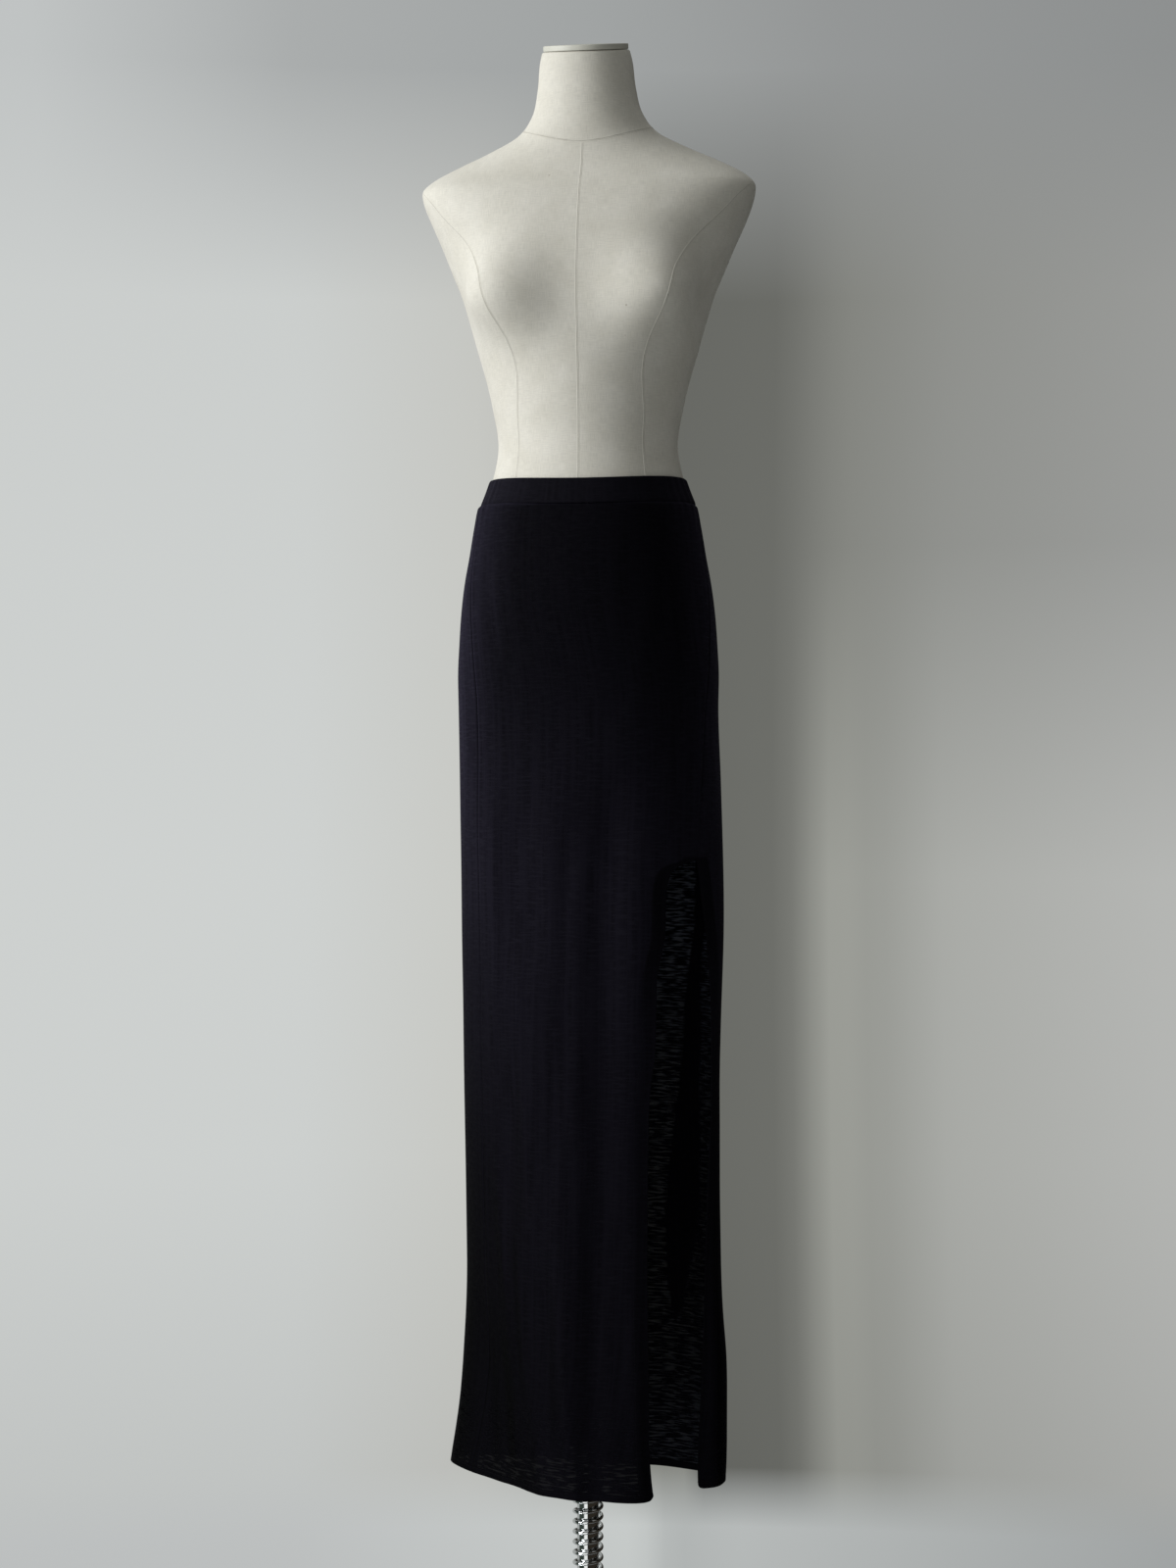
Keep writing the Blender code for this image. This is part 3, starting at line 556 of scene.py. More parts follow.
def softened(directions, radii, spread):
    """The same outline on even directions, its corners rounded over a few degrees."""
    even = np.arange(0, 360, 1.0)
    value = np.interp(even, directions, radii, period=360)
    reach = np.arange(-3 * spread, 3 * spread + 1)
    weight = np.exp(-0.5 * (reach / spread) ** 2)
    weight = weight / weight.sum()
    return even, sum(w * np.roll(value, int(shift)) for w, shift in zip(weight, reach))


def smooth_round(direction, directions, radii):
    """A closed outline's radius at any direction, smooth between its even steps."""
    place = np.asarray(direction, dtype=float) % 360
    low = np.floor(place).astype(int)
    beside = [radii[(low + shift) % len(radii)] for shift in (-1, 0, 1, 2)]
    rise = (beside[2] - beside[0]) / 2
    fall = (beside[3] - beside[1]) / 2
    return hermite(place - low, beside[1], beside[2], rise, fall)


def ease_in(value):
    value = np.clip(value, 0.0, 1.0)
    return value * value * (3 - 2 * value)


def away_from(direction, centre):
    """How far round a direction lies from another, from -180 to 180 degrees."""
    return (np.asarray(direction) - centre + 180) % 360 - 180


def polar(direction, radius):
    """X and Y at a direction and a radius."""
    return radius * np.cos(np.radians(direction)), radius * np.sin(np.radians(direction))


def fold_offset(direction, height, radius, table, fade, past_hem):
    """How far the folds of a table carry the cloth out at a height."""
    total = np.zeros_like(np.asarray(direction, dtype=float))
    for values in table:
        fold = dict(zip(FOLD_COLUMNS, values))
        along = (fold["top"] - height) / (fold["top"] - fold["bottom"])
        centre = fold["at_top"] + (fold["at_bottom"] - fold["at_top"]) * min(max(along, 0), 1)
        strength = ease_in((fold["top"] - height) / fade)
        strength = strength * ease_in((height - fold["bottom"]) / fade + past_hem)
        distance = np.radians(away_from(direction, centre)) * radius
        total = total + fold["rise"] * strength * np.exp(-0.5 * (distance / fold["width"]) ** 2)
    return total


def skirt_radius(direction, height):
    """The outer radius of the cloth, with its folds and creases. direction is an array."""
    row = row_at(height, SKIRT_SECTIONS, DRAPE_COLUMNS)
    sizes = [row[name] for name in ("left", "right", "centre", "lean", "front", "back")]
    powers = [row[name] for name in ("front_left", "front_right", "behind")]
    radius = smooth_round(direction, *softened(*outline(*sizes, powers), spread=3))
    folds = fold_offset(direction, height, radius, FOLDS, FOLD_FADE, 0.5)
    creases = fold_offset(direction, height, radius, CREASES, CREASE_FADE, 0.0)
    return radius + folds + creases


def edge_at(height, name):
    """One of the edges' columns at a height, smooth and without overshoot between the rows."""
    heights = column(EDGE_TABLE, EDGE_COLUMNS, "height")
    values = column(EDGE_TABLE, EDGE_COLUMNS, name)
    slopes = np.diff(values) / np.diff(heights)
    before = slopes[:-1]
    after = slopes[1:]
    same_way = before * after > 0
    even = np.where(same_way, 2 * before * after / np.where(same_way, before + after, 1.0), 0.0)
    return curve_value(height, heights, values, np.concatenate(([slopes[0]], even, [slopes[-1]])))


def form_radii(height):
    """Directions and radii of the form at a level, before its sections are tipped by their nod."""
    row = form_row(height)
    powers = (row["square"],) * 3
    shape = outline(row["half"], row["half"], 0.0, 0.0, row["front"], row["back"], powers)
    directions, radii = softened(*shape, spread=2)
    spread = BUST_SPREAD_UP if height > BUST_HEIGHT else BUST_SPREAD_DOWN
    rise = BUST_RISE * math.exp(-0.5 * ((height - BUST_HEIGHT) / spread) ** 2)
    for side in (-1, 1):
        away = away_from(directions, -90 + side * BUST_DIRECTION)
        radii = radii + rise * np.exp(-0.5 * (away / BUST_SPREAD_ROUND) ** 2)
    return directions, radii


FORM_CACHE = {}


def form_section(height):
    key = round(float(height), 5)
    if key not in FORM_CACHE:
        FORM_CACHE[key] = (form_row(key), form_radii(key))
    return FORM_CACHE[key]


def form_points(direction, height, out=0.0):
    """Points on the form's skin at one height row, moved outwards by out. direction is an array."""
    row, shape = form_section(height)
    direction = np.asarray(direction, dtype=float)
    x, y = polar(direction, smooth_round(direction, *shape) + out)
    return np.stack([x, y + row["centre"], height + row["nod"] * y], axis=-1)


# Meshes


def new_object(name, points, faces, material):
    mesh = bpy.data.meshes.new(name)
    mesh.from_pydata([tuple(point) for point in points], [], faces)
    mesh.update()
    mesh.shade_smooth()
    made = bpy.data.objects.new(name, mesh)
    made.data.materials.append(material)
    bpy.context.scene.collection.objects.link(made)
    return made


def keep_on_points(obj, name, values):
    """Stores one number, or one vector, for each point, for the material to read."""
    values = np.asarray(values, dtype=np.float32)
    kind, field = ("FLOAT_VECTOR", "vector") if values.ndim > 1 else ("FLOAT", "value")
    layer = obj.data.attributes.new(name, kind, "POINT")
    layer.data.foreach_set(field, values.ravel())


def keep_place(obj, sideways, down):
    """Stores where each point lies on its flat cloth."""
    keep_on_points(obj, "cloth_place", np.stack([sideways, down, down * 0], axis=-1).reshape(-1, 3))


def unit(vectors):
    return vectors / np.linalg.norm(vectors, axis=-1, keepdims=True)


def normals(points):
    """Outward normals of a grid of points whose rows run down and whose columns run anticlockwise."""
    return unit(np.cross(np.gradient(points, axis=0), unit(np.gradient(points, axis=1))))


def run_of(points):
    """How far along a line each of its points lies."""
    return np.concatenate(([0.0], np.cumsum(np.linalg.norm(np.diff(points, axis=0), axis=1))))


def points_along(places, run, points):
    """The points of a line at one or more places of its run."""
    return np.stack([np.interp(places, run, points[:, axis]) for axis in range(3)], axis=-1)


def sheet_faces(rows, columns):
    """Faces of a closed sheet: an outer grid of points, an inner one after it, and the rim."""
    inner = rows * columns
    faces = []
    for row in range(rows - 1):
        for step in range(columns - 1):
            here = row * columns + step
            below = here + columns
            faces.append((here, below, below + 1, here + 1))
            faces.append((inner + here, inner + here + 1, inner + below + 1, inner + below))
    for step in range(columns - 1):
        last = (rows - 1) * columns + step
        faces.append((step, step + 1, inner + step + 1, inner + step))
        faces.append((last, inner + last, inner + last + 1, last + 1))
    for row in range(rows - 1):
        first = row * columns
        end = first + columns - 1
        faces.append((first, inner + first, inner + first + columns, first + columns))
        faces.append((end, end + columns, inner + end + columns, inner + end))
    return faces


def ring_faces(rings, count, closed):
    """Faces between rings of count points each; closed joins the last ring to the first."""
    faces = []
    for ring in range(rings if closed else rings - 1):
        after = (ring + 1) % rings
        for step in range(count):
            turn = (step + 1) % count
            here = (ring * count + step, ring * count + turn)
            faces.append((*here, after * count + turn, after * count + step))
    return faces


def capped_faces(rings, count):
    """Faces between rings of count points each, and one face over each end."""
    last = (rings - 1) * count
    faces = [face[::-1] for face in ring_faces(rings, count, closed=False)]
    return faces + [tuple(range(count)), tuple(range(last + count - 1, last - 1, -1))]


def rounded(profile, reach):
    """A profile with each inner corner replaced by a short curve."""
    points = [np.array(point, dtype=float) for point in profile]
    made = [tuple(points[0])]
    for before, corner, after in zip(points, points[1:], points[2:]):
        start, end = (
            corner + (other - corner) * min(0.45, reach / max(np.linalg.norm(other - corner), 1e-9))
            for other in (before, after)
        )
        for t in np.linspace(0, 1, 5):
            made.append(tuple((1 - t) ** 2 * start + 2 * t * (1 - t) * corner + t * t * end))
    made.append(tuple(points[-1]))
    return made


def turned(name, profile, steps, material, closed=False):
    """A turned piece about the pole, from a profile of (radius, height) that runs down its outside.

    An open profile begins and ends on the axis, and those two ends become single points.
    """
    turn = np.linspace(0, FULL_TURN, steps, endpoint=False)
    rings = profile if closed else profile[1:-1]
    points = [
        (radius * math.cos(angle), radius * math.sin(angle), height)
        for radius, height in rings
        for angle in turn
    ]
    faces = [face[::-1] for face in ring_faces(len(rings), steps, closed)]
    if not closed:
        top = len(points)
        points.append((0.0, 0.0, profile[0][1]))
        points.append((0.0, 0.0, profile[-1][1]))
        last = (len(rings) - 1) * steps
        for step in range(steps):
            after = (step + 1) % steps
            faces.append((top, step, after))
            faces.append((top + 1, last + after, last + step))
    made = new_object(name, points, faces, material)
    made.data.set_sharp_from_angle(angle=math.radians(50))
    return made


def swept(path, out, profile):
    """Points and faces of a low strip along a path, its section given like WELT_PROFILE."""
    side = unit(np.cross(unit(np.gradient(path, axis=0)), out))
    rows = [path + side * sideways + out * height for sideways, height, _ in profile]
    width = len(profile)
    faces = []
    for row in range(len(path) - 1):
        for step in range(width - 1):
            here = row * width + step
            faces.append((here, here + 1, here + width + 1, here + width))
    return np.stack(rows, axis=1).reshape(-1, 3), faces


def joined(name, parts, material):
    """One object of several (points, faces) parts."""
    points = []
    faces = []
    for part_points, part_faces in parts:
        start = len(points)
        points.extend(part_points)
        faces.extend(tuple(start + index for index in face) for face in part_faces)
    return new_object(name, points, faces, material)


# Materials


def add_node(tree, kind, inputs=(), **settings):
    """A shader node with its settings, and its inputs given as values or as the sockets that feed them."""
    made = tree.nodes.new("ShaderNode" + kind)
    for name, value in settings.items():
        setattr(made, name, value)
    for name, value in dict(inputs).items():
        if isinstance(value, bpy.types.NodeSocket):
            tree.links.new(value, made.inputs[name])
        else:
            made.inputs[name].default_value = value
    return made


def math_of(tree, operation, first, second=0.0, third=0.0):
    return add_node(tree, "Math", {0: first, 1: second, 2: third}, operation=operation).outputs[0]


def times(tree, color, share):
    return add_node(tree, "VectorMath", {0: color, "Scale": share}, operation="SCALE").outputs[0]


def range_of(tree, value, low, high, at_low=0.0, at_high=1.0):
    return add_node(tree, "MapRange", {"Value": value, 1: low, 2: high, 3: at_low, 4: at_high}).outputs[0]


def color_mix(tree, factor, first, second, blend="MIX"):
    inputs = {"Factor": factor, "A": first, "B": second}
    return add_node(tree, "Mix", inputs, data_type="RGBA", blend_type=blend).outputs[2]


def multiplied(tree, first, second):
    return color_mix(tree, 1.0, first, second, "MULTIPLY")


def ramp_of(tree, factor, stops):
    """A colour ramp's output; stops are (place, grey or colour)."""
    made = add_node(tree, "ValToRGB", {"Fac": factor})
    ramp = made.color_ramp
    while len(ramp.elements) < len(stops):
        ramp.elements.new(0.5)
    for element, (place, value) in zip(ramp.elements, stops):
        color = value if isinstance(value, tuple) else (value, value, value)
        element.position = place
        element.color = (*color, 1.0)
    return made.outputs["Color"]


def point_value(tree, name, output="Fac"):
    """What a piece stores on its points under a name."""
    return add_node(tree, "Attribute", attribute_name=name).outputs[output]


def scaled_place(tree, source, scale):
    return add_node(tree, "VectorMath", {0: source, 1: scale}, operation="MULTIPLY").outputs[0]


def noise_of(tree, place, scale, detail=2.0, roughness=0.5):
    inputs = {"Vector": place, "Scale": scale, "Detail": detail, "Roughness": roughness}
    return add_node(tree, "TexNoise", inputs).outputs["Fac"]


def new_material(name):
    """A material with its tree and its Principled shader."""
    made = bpy.data.materials.new(name)
    made.use_nodes = True
    tree = made.node_tree
    return made, tree, tree.nodes["Principled BSDF"]


def set_inputs(shader, values):
    for name, value in values.items():
        shader.inputs[name].default_value = value


def feed_shader(tree, shader, color, rough, height, strength, distance):
    """Links a shader's colour, its roughness and a bump of this height."""
    bump = add_node(tree, "Bump", {"Height": height, "Strength": strength, "Distance": distance})
    tree.links.new(color, shader.inputs["Base Color"])
    tree.links.new(rough, shader.inputs["Roughness"])
    tree.links.new(bump.outputs["Normal"], shader.inputs["Normal"])


def wave_of(tree, place, direction, pitch_mm):
    """Fine even ridges of a pitch in millimetres; place is in millimetres."""
    inputs = {"Vector": place, "Scale": FULL_TURN / 20 / pitch_mm, "Distortion": 0.0}
    settings = {"wave_type": "BANDS", "bands_direction": direction, "wave_profile": "SIN"}
    return add_node(tree, "TexWave", inputs, **settings).outputs["Fac"]


def woven_relief(tree, place, across_mm, down_mm, share):
    """Even ridges across and down the cloth, share of the relief across and the rest down."""
    in_mm = scaled_place(tree, place, (1000.0, 1000.0, 1000.0))
    over = math_of(tree, "MULTIPLY", wave_of(tree, in_mm, "X", across_mm), share)
    under = math_of(tree, "MULTIPLY", wave_of(tree, in_mm, "Y", down_mm), 1 - share)
    return math_of(tree, "ADD", over, under)


def make_jersey(name, base, slub_base, see_through):
    """Fine slub jersey: wales down the cloth, slubs across it, light passed at the slubs, and painted light,
    shade and edge sheen.
    """
    material, tree, shader = new_material(name)
    place = point_value(tree, "cloth_place", "Vector")
    streaks = noise_of(tree, scaled_place(tree, place, (58.0, 440.0, 1.0)), 1.0, 2.0, 0.45)
    slub = ramp_of(tree, streaks, ((0.47, 0.0), (0.62, 1.0)))
    # Light and shade, edge sheen and slub light painted into the colour, stored on the points by height.
    light = point_value(tree, "cloth_painted_light", "Vector")
    tone_and_painted_light, painted_edge_light, painted_slub_light = add_node(tree, "SeparateXYZ", {0: light}).outputs
    lengthwise = noise_of(tree, scaled_place(tree, place, (210.0, 6.0, 1.0)), 1.0, 3.0, 0.6)
    shades = [(at, tuple(value * share for value in base)) for at, share in ((0.34, 0.8), (0.66, 1.35))]
    # Inside behind the slit the slubs' colour is painted lighter, for the light that comes through them.
    slub_colors = {0: INNER_SLUB_PAINTED_LIGHT, 1: painted_slub_light, 2: slub_base}
    slub_color = add_node(tree, "VectorMath", slub_colors, operation="MULTIPLY_ADD").outputs[0]
    streaked = color_mix(tree, slub, ramp_of(tree, lengthwise, shades), slub_color)
    # Painted sheen: the colour is made lighter at a grazing view, and darker where the height's value is
    # negative.
    facing = add_node(tree, "LayerWeight", {"Blend": 0.5}).outputs["Facing"]
    painted_edge_share = math_of(tree, "MULTIPLY", painted_edge_light, range_of(tree, facing, 0.17, 0.80, 0.0, 5.2))
    # The painted light and shade by height scales the colour.
    share = math_of(tree, "MULTIPLY_ADD", painted_edge_share, tone_and_painted_light, tone_and_painted_light)
    rough = ramp_of(tree, noise_of(tree, place, 160.0, 2.0), ((0.3, 0.74), (0.7, 0.90)))
    knit = woven_relief(tree, place, 0.62, 0.48, 0.7)
    relief = math_of(tree, "ADD", knit, math_of(tree, "MULTIPLY", slub, 1.2))
    feed_shader(tree, shader, times(tree, streaked, share), rough, relief, 0.55, 0.00012)
    set_inputs(shader, {
        "Specular IOR Level": 0.03,
        "Sheen Weight": 0.018,
        "Sheen Roughness": 0.30,
        "Sheen Tint": (0.74, 0.70, 1.0, 1.0),
    })
    if see_through:
        slub_passes = math_of(tree, "MULTIPLY", slub, SLUB_PASSES)
        passed = math_of(tree, "MULTIPLY", point_value(tree, "cloth_open"), slub_passes)
        tree.links.new(math_of(tree, "SUBTRACT", 1.0, passed), shader.inputs["Alpha"])
    return material


def make_thread():
    """Black sewing thread, matt like the cloth."""
    material, tree, shader = new_material("skirt_thread")
    twist = noise_of(tree, add_node(tree, "TexCoord").outputs["Object"], 2600.0, 1.0)
    color = ramp_of(tree, twist, ((0.3, (0.0035, 0.0033, 0.0050)), (0.7, (0.0060, 0.0056, 0.0082))))
    rough = ramp_of(tree, twist, ((0.3, 0.65), (0.7, 0.80)))
    feed_shader(tree, shader, color, rough, twist, 0.4, 0.0001)
    set_inputs(shader, {"Specular IOR Level": 0.06})
    return material


def make_linen(name, light, dark, weave_depth):
    """Plain-woven cream cloth: crossed threads, slubs, faint mottling and a few small flecks."""
    material, tree, shader = new_material(name)
    place = point_value(tree, "cloth_place", "Vector")
    mottle = noise_of(tree, place, 22.0, 4.0, 0.6)
    warp = noise_of(tree, scaled_place(tree, place, (1500.0, 90.0, 1.0)), 1.0, 3.0)
    weft = noise_of(tree, scaled_place(tree, place, (90.0, 1500.0, 1.0)), 1.0, 3.0)
    threads = math_of(tree, "MULTIPLY", math_of(tree, "ADD", warp, weft), 0.5)
    ground = ramp_of(tree, mottle, ((0.32, dark), (0.68, light)))
    woven = multiplied(tree, ground, ramp_of(tree, threads, ((0.40, 0.87), (0.58, 1.0))))
    flecks = add_node(tree, "TexVoronoi", {"Vector": place, "Scale": 34.0, "Randomness": 1.0})
    fleck = ramp_of(tree, flecks.outputs["Distance"], ((0.022, 1.0), (0.042, 0.0)))
    few = ramp_of(tree, noise_of(tree, place, 9.0, 0.0), ((0.56, 0.0), (0.59, 0.60)))
    flecked = color_mix(tree, multiplied(tree, fleck, few), woven, FLECK_COLOR)
    # The seams' darker line: stitching, and painted shade in their grooves.
    color = color_mix(tree, point_value(tree, "seam_line_and_shade"), flecked, SEAM_LINE_AND_SHADE_COLOR)
    rough = ramp_of(tree, mottle, ((0.3, 0.80), (0.7, 0.92)))
    plain = woven_relief(tree, place, 0.85, 0.85, 0.5)
    relief = math_of(tree, "ADD", plain, math_of(tree, "MULTIPLY", threads, 1.6))
    feed_shader(tree, shader, color, rough, relief, 0.5, weave_depth)
    set_inputs(shader, {"Specular IOR Level": 0.25, "Sheen Weight": 0.08, "Sheen Roughness": 0.5})
    return material


def make_cap_board():
    """The neck cap's smooth cream board, with a faint grain."""
    material, tree, shader = new_material("form_cap_board")
    place = add_node(tree, "TexCoord").outputs["Object"]
    cloud = noise_of(tree, place, 60.0, 4.0, 0.6)
    color = ramp_of(tree, cloud, ((0.3, (0.52, 0.505, 0.44)), (0.7, (0.60, 0.585, 0.515))))
    rough = ramp_of(tree, cloud, ((0.3, 0.42), (0.7, 0.58)))
    feed_shader(tree, shader, color, rough, noise_of(tree, place, 900.0, 2.0), 0.25, 0.0002)
    return material


def make_chrome(name, color, smooth, worn, scratch):
    """Polished chrome with faint smudges and hairline scratches that run round it."""
    material, tree, shader = new_material(name)
    place = add_node(tree, "TexCoord").outputs["Object"]
    smudge = noise_of(tree, place, 38.0, 4.0, 0.65)
    lines = noise_of(tree, scaled_place(tree, place, scratch), 1.0, 2.0)
    rough = ramp_of(tree, smudge, ((0.35, smooth), (0.75, worn)))
    tint = ramp_of(tree, smudge, ((0.3, color), (0.8, tuple(value * 0.93 for value in color))))
    feed_shader(tree, shader, tint, rough, lines, 0.06, 0.0001)
    set_inputs(shader, {"Metallic": 1.0})
    return material


def make_floor_paint():
    material, tree, shader = new_material("floor_paint")
    place = add_node(tree, "TexCoord").outputs["Object"]
    cloud = noise_of(tree, place, 1.3, 3.0)
    color = ramp_of(tree, cloud, ((0.3, (0.60, 0.61, 0.61)), (0.7, (0.64, 0.65, 0.65))))
    tree.links.new(color, shader.inputs["Base Color"])
    set_inputs(shader, {"Roughness": 0.7})
    return material


# The skirt


def plan_line(start, end, height, curl_start, curl_end):
    """X and Y of the cloth's outer line at a height, between two directions, and its length so far."""
    directions = np.linspace(start, end, PLAN_STEPS)
    radius = skirt_radius(directions, height)
    x, y = polar(directions, radius)
    length = run_of(np.stack([x, y], axis=1))
    curl = curl_start * near(length, CURL_WIDTH) + curl_end * near(length[-1] - length, CURL_WIDTH)
    shrink = (radius - curl) / radius
    return x * shrink, y * shrink, length


def panel_levels():
    """Heights of a panel's rows, from the waistband down, close at both ends and at the slit's top."""
    top = [BAND_BOTTOM - step for step in WAIST_STATIONS]
    hem = [HEM_HEIGHT + step for step in HEM_STATIONS]
    count = int((top[-1] - hem[-1]) / ROW_SPACING)
    middle = [float(height) for height in np.linspace(top[-1], hem[-1], count + 1)[1:-1]]
    near_slit = [SLIT_TOP + step for step in (0.002, 0.0, -0.002, -0.005, -0.010)]
    levels = top + middle + hem + near_slit
    return sorted(set(round(height, 5) for height in levels), reverse=True)


def stations_along(length, at_start, at_end, count):
    """Distances of a row's points from its start, close at its two edges."""
    first = np.array(at_start)
    last = length - np.array(at_end)[::-1]
    middle = np.linspace(first[-1], last[0], count)[1:-1]
    return np.concatenate((first, middle, last))


def panel_grid(edges, at_start, at_end, count):
    """The panel's outer points, and each point's distance from the row's start and from its end."""
    start_name, end_name, curl_start_name, curl_end_name, end_turn = edges
    rows = []
    from_start = []
    from_end = []
    for height in panel_levels():
        curl_start = edge_at(height, curl_start_name) if curl_start_name else 0.0
        curl_end = edge_at(height, curl_end_name) if curl_end_name else 0.0
        start = edge_at(height, start_name)
        end = edge_at(height, end_name) + end_turn
        x, y, length = plan_line(start, end, height, curl_start, curl_end)
        stations = stations_along(length[-1], at_start, at_end, count)
        place_x = np.interp(stations, length, x)
        place_y = np.interp(stations, length, y)
        towards_side = place_x ** 2 / (place_x ** 2 + place_y ** 2)
        drawn_up = float(ease_in(1 - (BAND_BOTTOM - height) / LIFT_REACH))
        place_z = height + SEAM_SIDE_LIFT * towards_side * drawn_up
        rows.append(np.stack([place_x, place_y, place_z], axis=1))
        from_start.append(stations)
        from_end.append(length[-1] - stations)
    return np.array(rows), np.array(from_start), np.array(from_end)


def smooth_noise(u, v, seed, reach, count=7):
    """A soft uneven field from a few crossed waves with seeded phases; reach is their mean length."""
    draw = np.random.default_rng(seed)
    total = np.zeros_like(u)
    for _ in range(count):
        angle = draw.uniform(0, FULL_TURN)
        length = reach * draw.uniform(0.6, 1.7)
        phase = draw.uniform(0, FULL_TURN)
        total = total + np.sin(FULL_TURN * (u * math.cos(angle) + v * math.sin(angle)) / length + phase)
    return total / math.sqrt(count)


def hem_sway(directions, rise_above_hem):
    """How far the hem dips and lifts as it goes round, fading out above it."""
    turn = np.radians(directions)
    wave = np.sin(3 * turn + 0.7) * 0.5 + np.sin(5 * turn + 2.1) * 0.35 + np.sin(9 * turn) * 0.15
    return 0.0011 * wave * np.exp(-rise_above_hem / 0.05)


def corner_lift(from_slit, rise_above_hem):
    """How far the hem's rounded corner at the slit lifts the cloth."""
    inside = np.clip(1 - from_slit / CORNER_RADIUS, 0, 1)
    return CORNER_RADIUS * (1 - np.sqrt(1 - inside**2)) * np.exp(-rise_above_hem / CORNER_FADE)


def near(distance, width):
    return np.exp(-((distance / width) ** 2))


def seam_relief(distance):
    """The dip into a side seam and the low ridge of its turned allowance beside it."""
    return -0.0003 * near(distance, 0.0012) + 0.00022 * near(distance - 0.0036, 0.0018)


def panel_relief(points, levels, from_seam, from_slit, seed):
    """Low relief on a panel's outside: seams, turned hem and edge, puckers and small unevenness."""
    below_band = (BAND_BOTTOM - levels)[:, None]
    above_hem = (levels - HEM_HEIGHT)[:, None]
    directions = np.degrees(np.arctan2(points[:, :, 1], points[:, :, 0]))
    sideways = np.cos(np.radians(directions)) ** 2
    puff = SEAM_PUFF * sideways * near(below_band - 0.006, 0.011)
    relief = puff - 0.0015 * near(below_band, 0.0016) + seam_relief(from_seam)
    above_slit = ease_in((levels - SLIT_TOP) / 0.004)[:, None]
    relief = relief + above_slit * seam_relief(from_slit)
    below_slit = 1 - above_slit
    relief = relief - below_slit * 0.00008 * near(from_slit - SLIT_STITCHES, 0.0014)
    relief = relief - 0.00022 * near(above_hem - HEM_STITCHES, 0.0009)
    side = np.abs((directions + 90) % 180 - 90)
    gathered = ease_in((GATHER_HALF_SPAN * 1.25 - side) / 22.0)
    pucker = np.sin(FULL_TURN * directions / (2 * GATHER_HALF_SPAN / GATHER_COUNT)) + 0.6 * smooth_noise(
        directions / 360, levels[:, None] * 0.4 + directions * 0, seed + 1, 0.03
    )
    gathered = gathered * np.exp(-below_band / 0.020) * (1 - near(below_band, 0.001))
    relief = relief + 0.00034 * pucker * gathered
    uneven = smooth_noise(from_seam, levels[:, None] * 0.45 + from_seam * 0, seed, 0.075)
    return relief + 0.00016 * uneven


def panel_thickness(levels, from_slit):
    """One layer, or the turned hem and the slit's turned edge, thinned at the rims."""
    hem = ease_in((HEM_DEPTH - (levels - HEM_HEIGHT)) / TURN_WIDTH + 0.5)[:, None]
    turned_edge = ease_in((SLIT_FACING - from_slit) / TURN_WIDTH + 0.5)
    turned_edge = turned_edge * ease_in((SLIT_TOP + 0.004 - levels) / 0.004)[:, None]
    thickness = LAYER + np.maximum((HEM_LAYERS - LAYER) * hem, (SLIT_LAYERS - LAYER) * turned_edge)
    return thickness, hem, turned_edge


def pleat_share(directions, levels):
    """1 inside the back panel's flat pleat, 0 outside, with narrow edges."""
    share = np.zeros_like(directions)
    for row, height in enumerate(levels):
        if height < PLEAT[0][0]:
            low = np.interp(height, *[column(PLEAT, PLEAT_COLUMNS, name) for name in ("height", "from")])
            high = np.interp(height, *[column(PLEAT, PLEAT_COLUMNS, name) for name in ("height", "to")])
            inside = np.minimum(directions[row] - low, high - directions[row])
            share[row] = ease_in(np.radians(inside) * 0.14 / PLEAT_EDGE + 0.5)
    return share


def cloth_column(levels, name):
    """One column of the cloth's table at each level, as a column of a grid."""
    heights = column(CLOTH_TABLE, CLOTH_COLUMNS, "height")
    values = column(CLOTH_TABLE, CLOTH_COLUMNS, name)
    return np.array([smooth_value(float(level), heights, values) for level in levels])[:, None]


def seen_inside(directions, levels):
    """1 on the part of the back panel that shows through the slit, 0 on the rest of it."""
    low, high = INSIDE_SEEN
    share = ease_in((directions - low) / 6.0) * ease_in((high - directions) / 12.0)
    return share * ease_in((SLIT_TOP + 0.05 - levels) / 0.05)[:, None]


def cloth_painted_light(levels, turned_edge, slubs):
    """Each point's painted light and shade, its painted sheen at a grazing view and its painted slub light.
    """
    # Painted shade: near the slit's top its turned edge is painted darker.
    near_top = ease_in((levels - EDGE_SHADE_END) / EDGE_SHADE_FADE)[:, None]
    tone_and_painted_light = cloth_column(levels, "tone_and_painted_light") * (1 - EDGE_SHADE * turned_edge * near_top)
    painted_edge_light = np.broadcast_to(cloth_column(levels, "painted_edge_light"), tone_and_painted_light.shape)
    painted_slub_light = slubs * cloth_column(levels, "slubs")
    return np.stack([tone_and_painted_light, painted_edge_light, painted_slub_light], axis=2).reshape(-1, 3)


def rim_share(shape):
    """1 on the outermost rows and columns of a grid, 0 inside."""
    share = np.zeros(shape)
    share[0, :] = 1
    share[-1, :] = 1
    share[:, 0] = 1
    share[:, -1] = 1
    return share


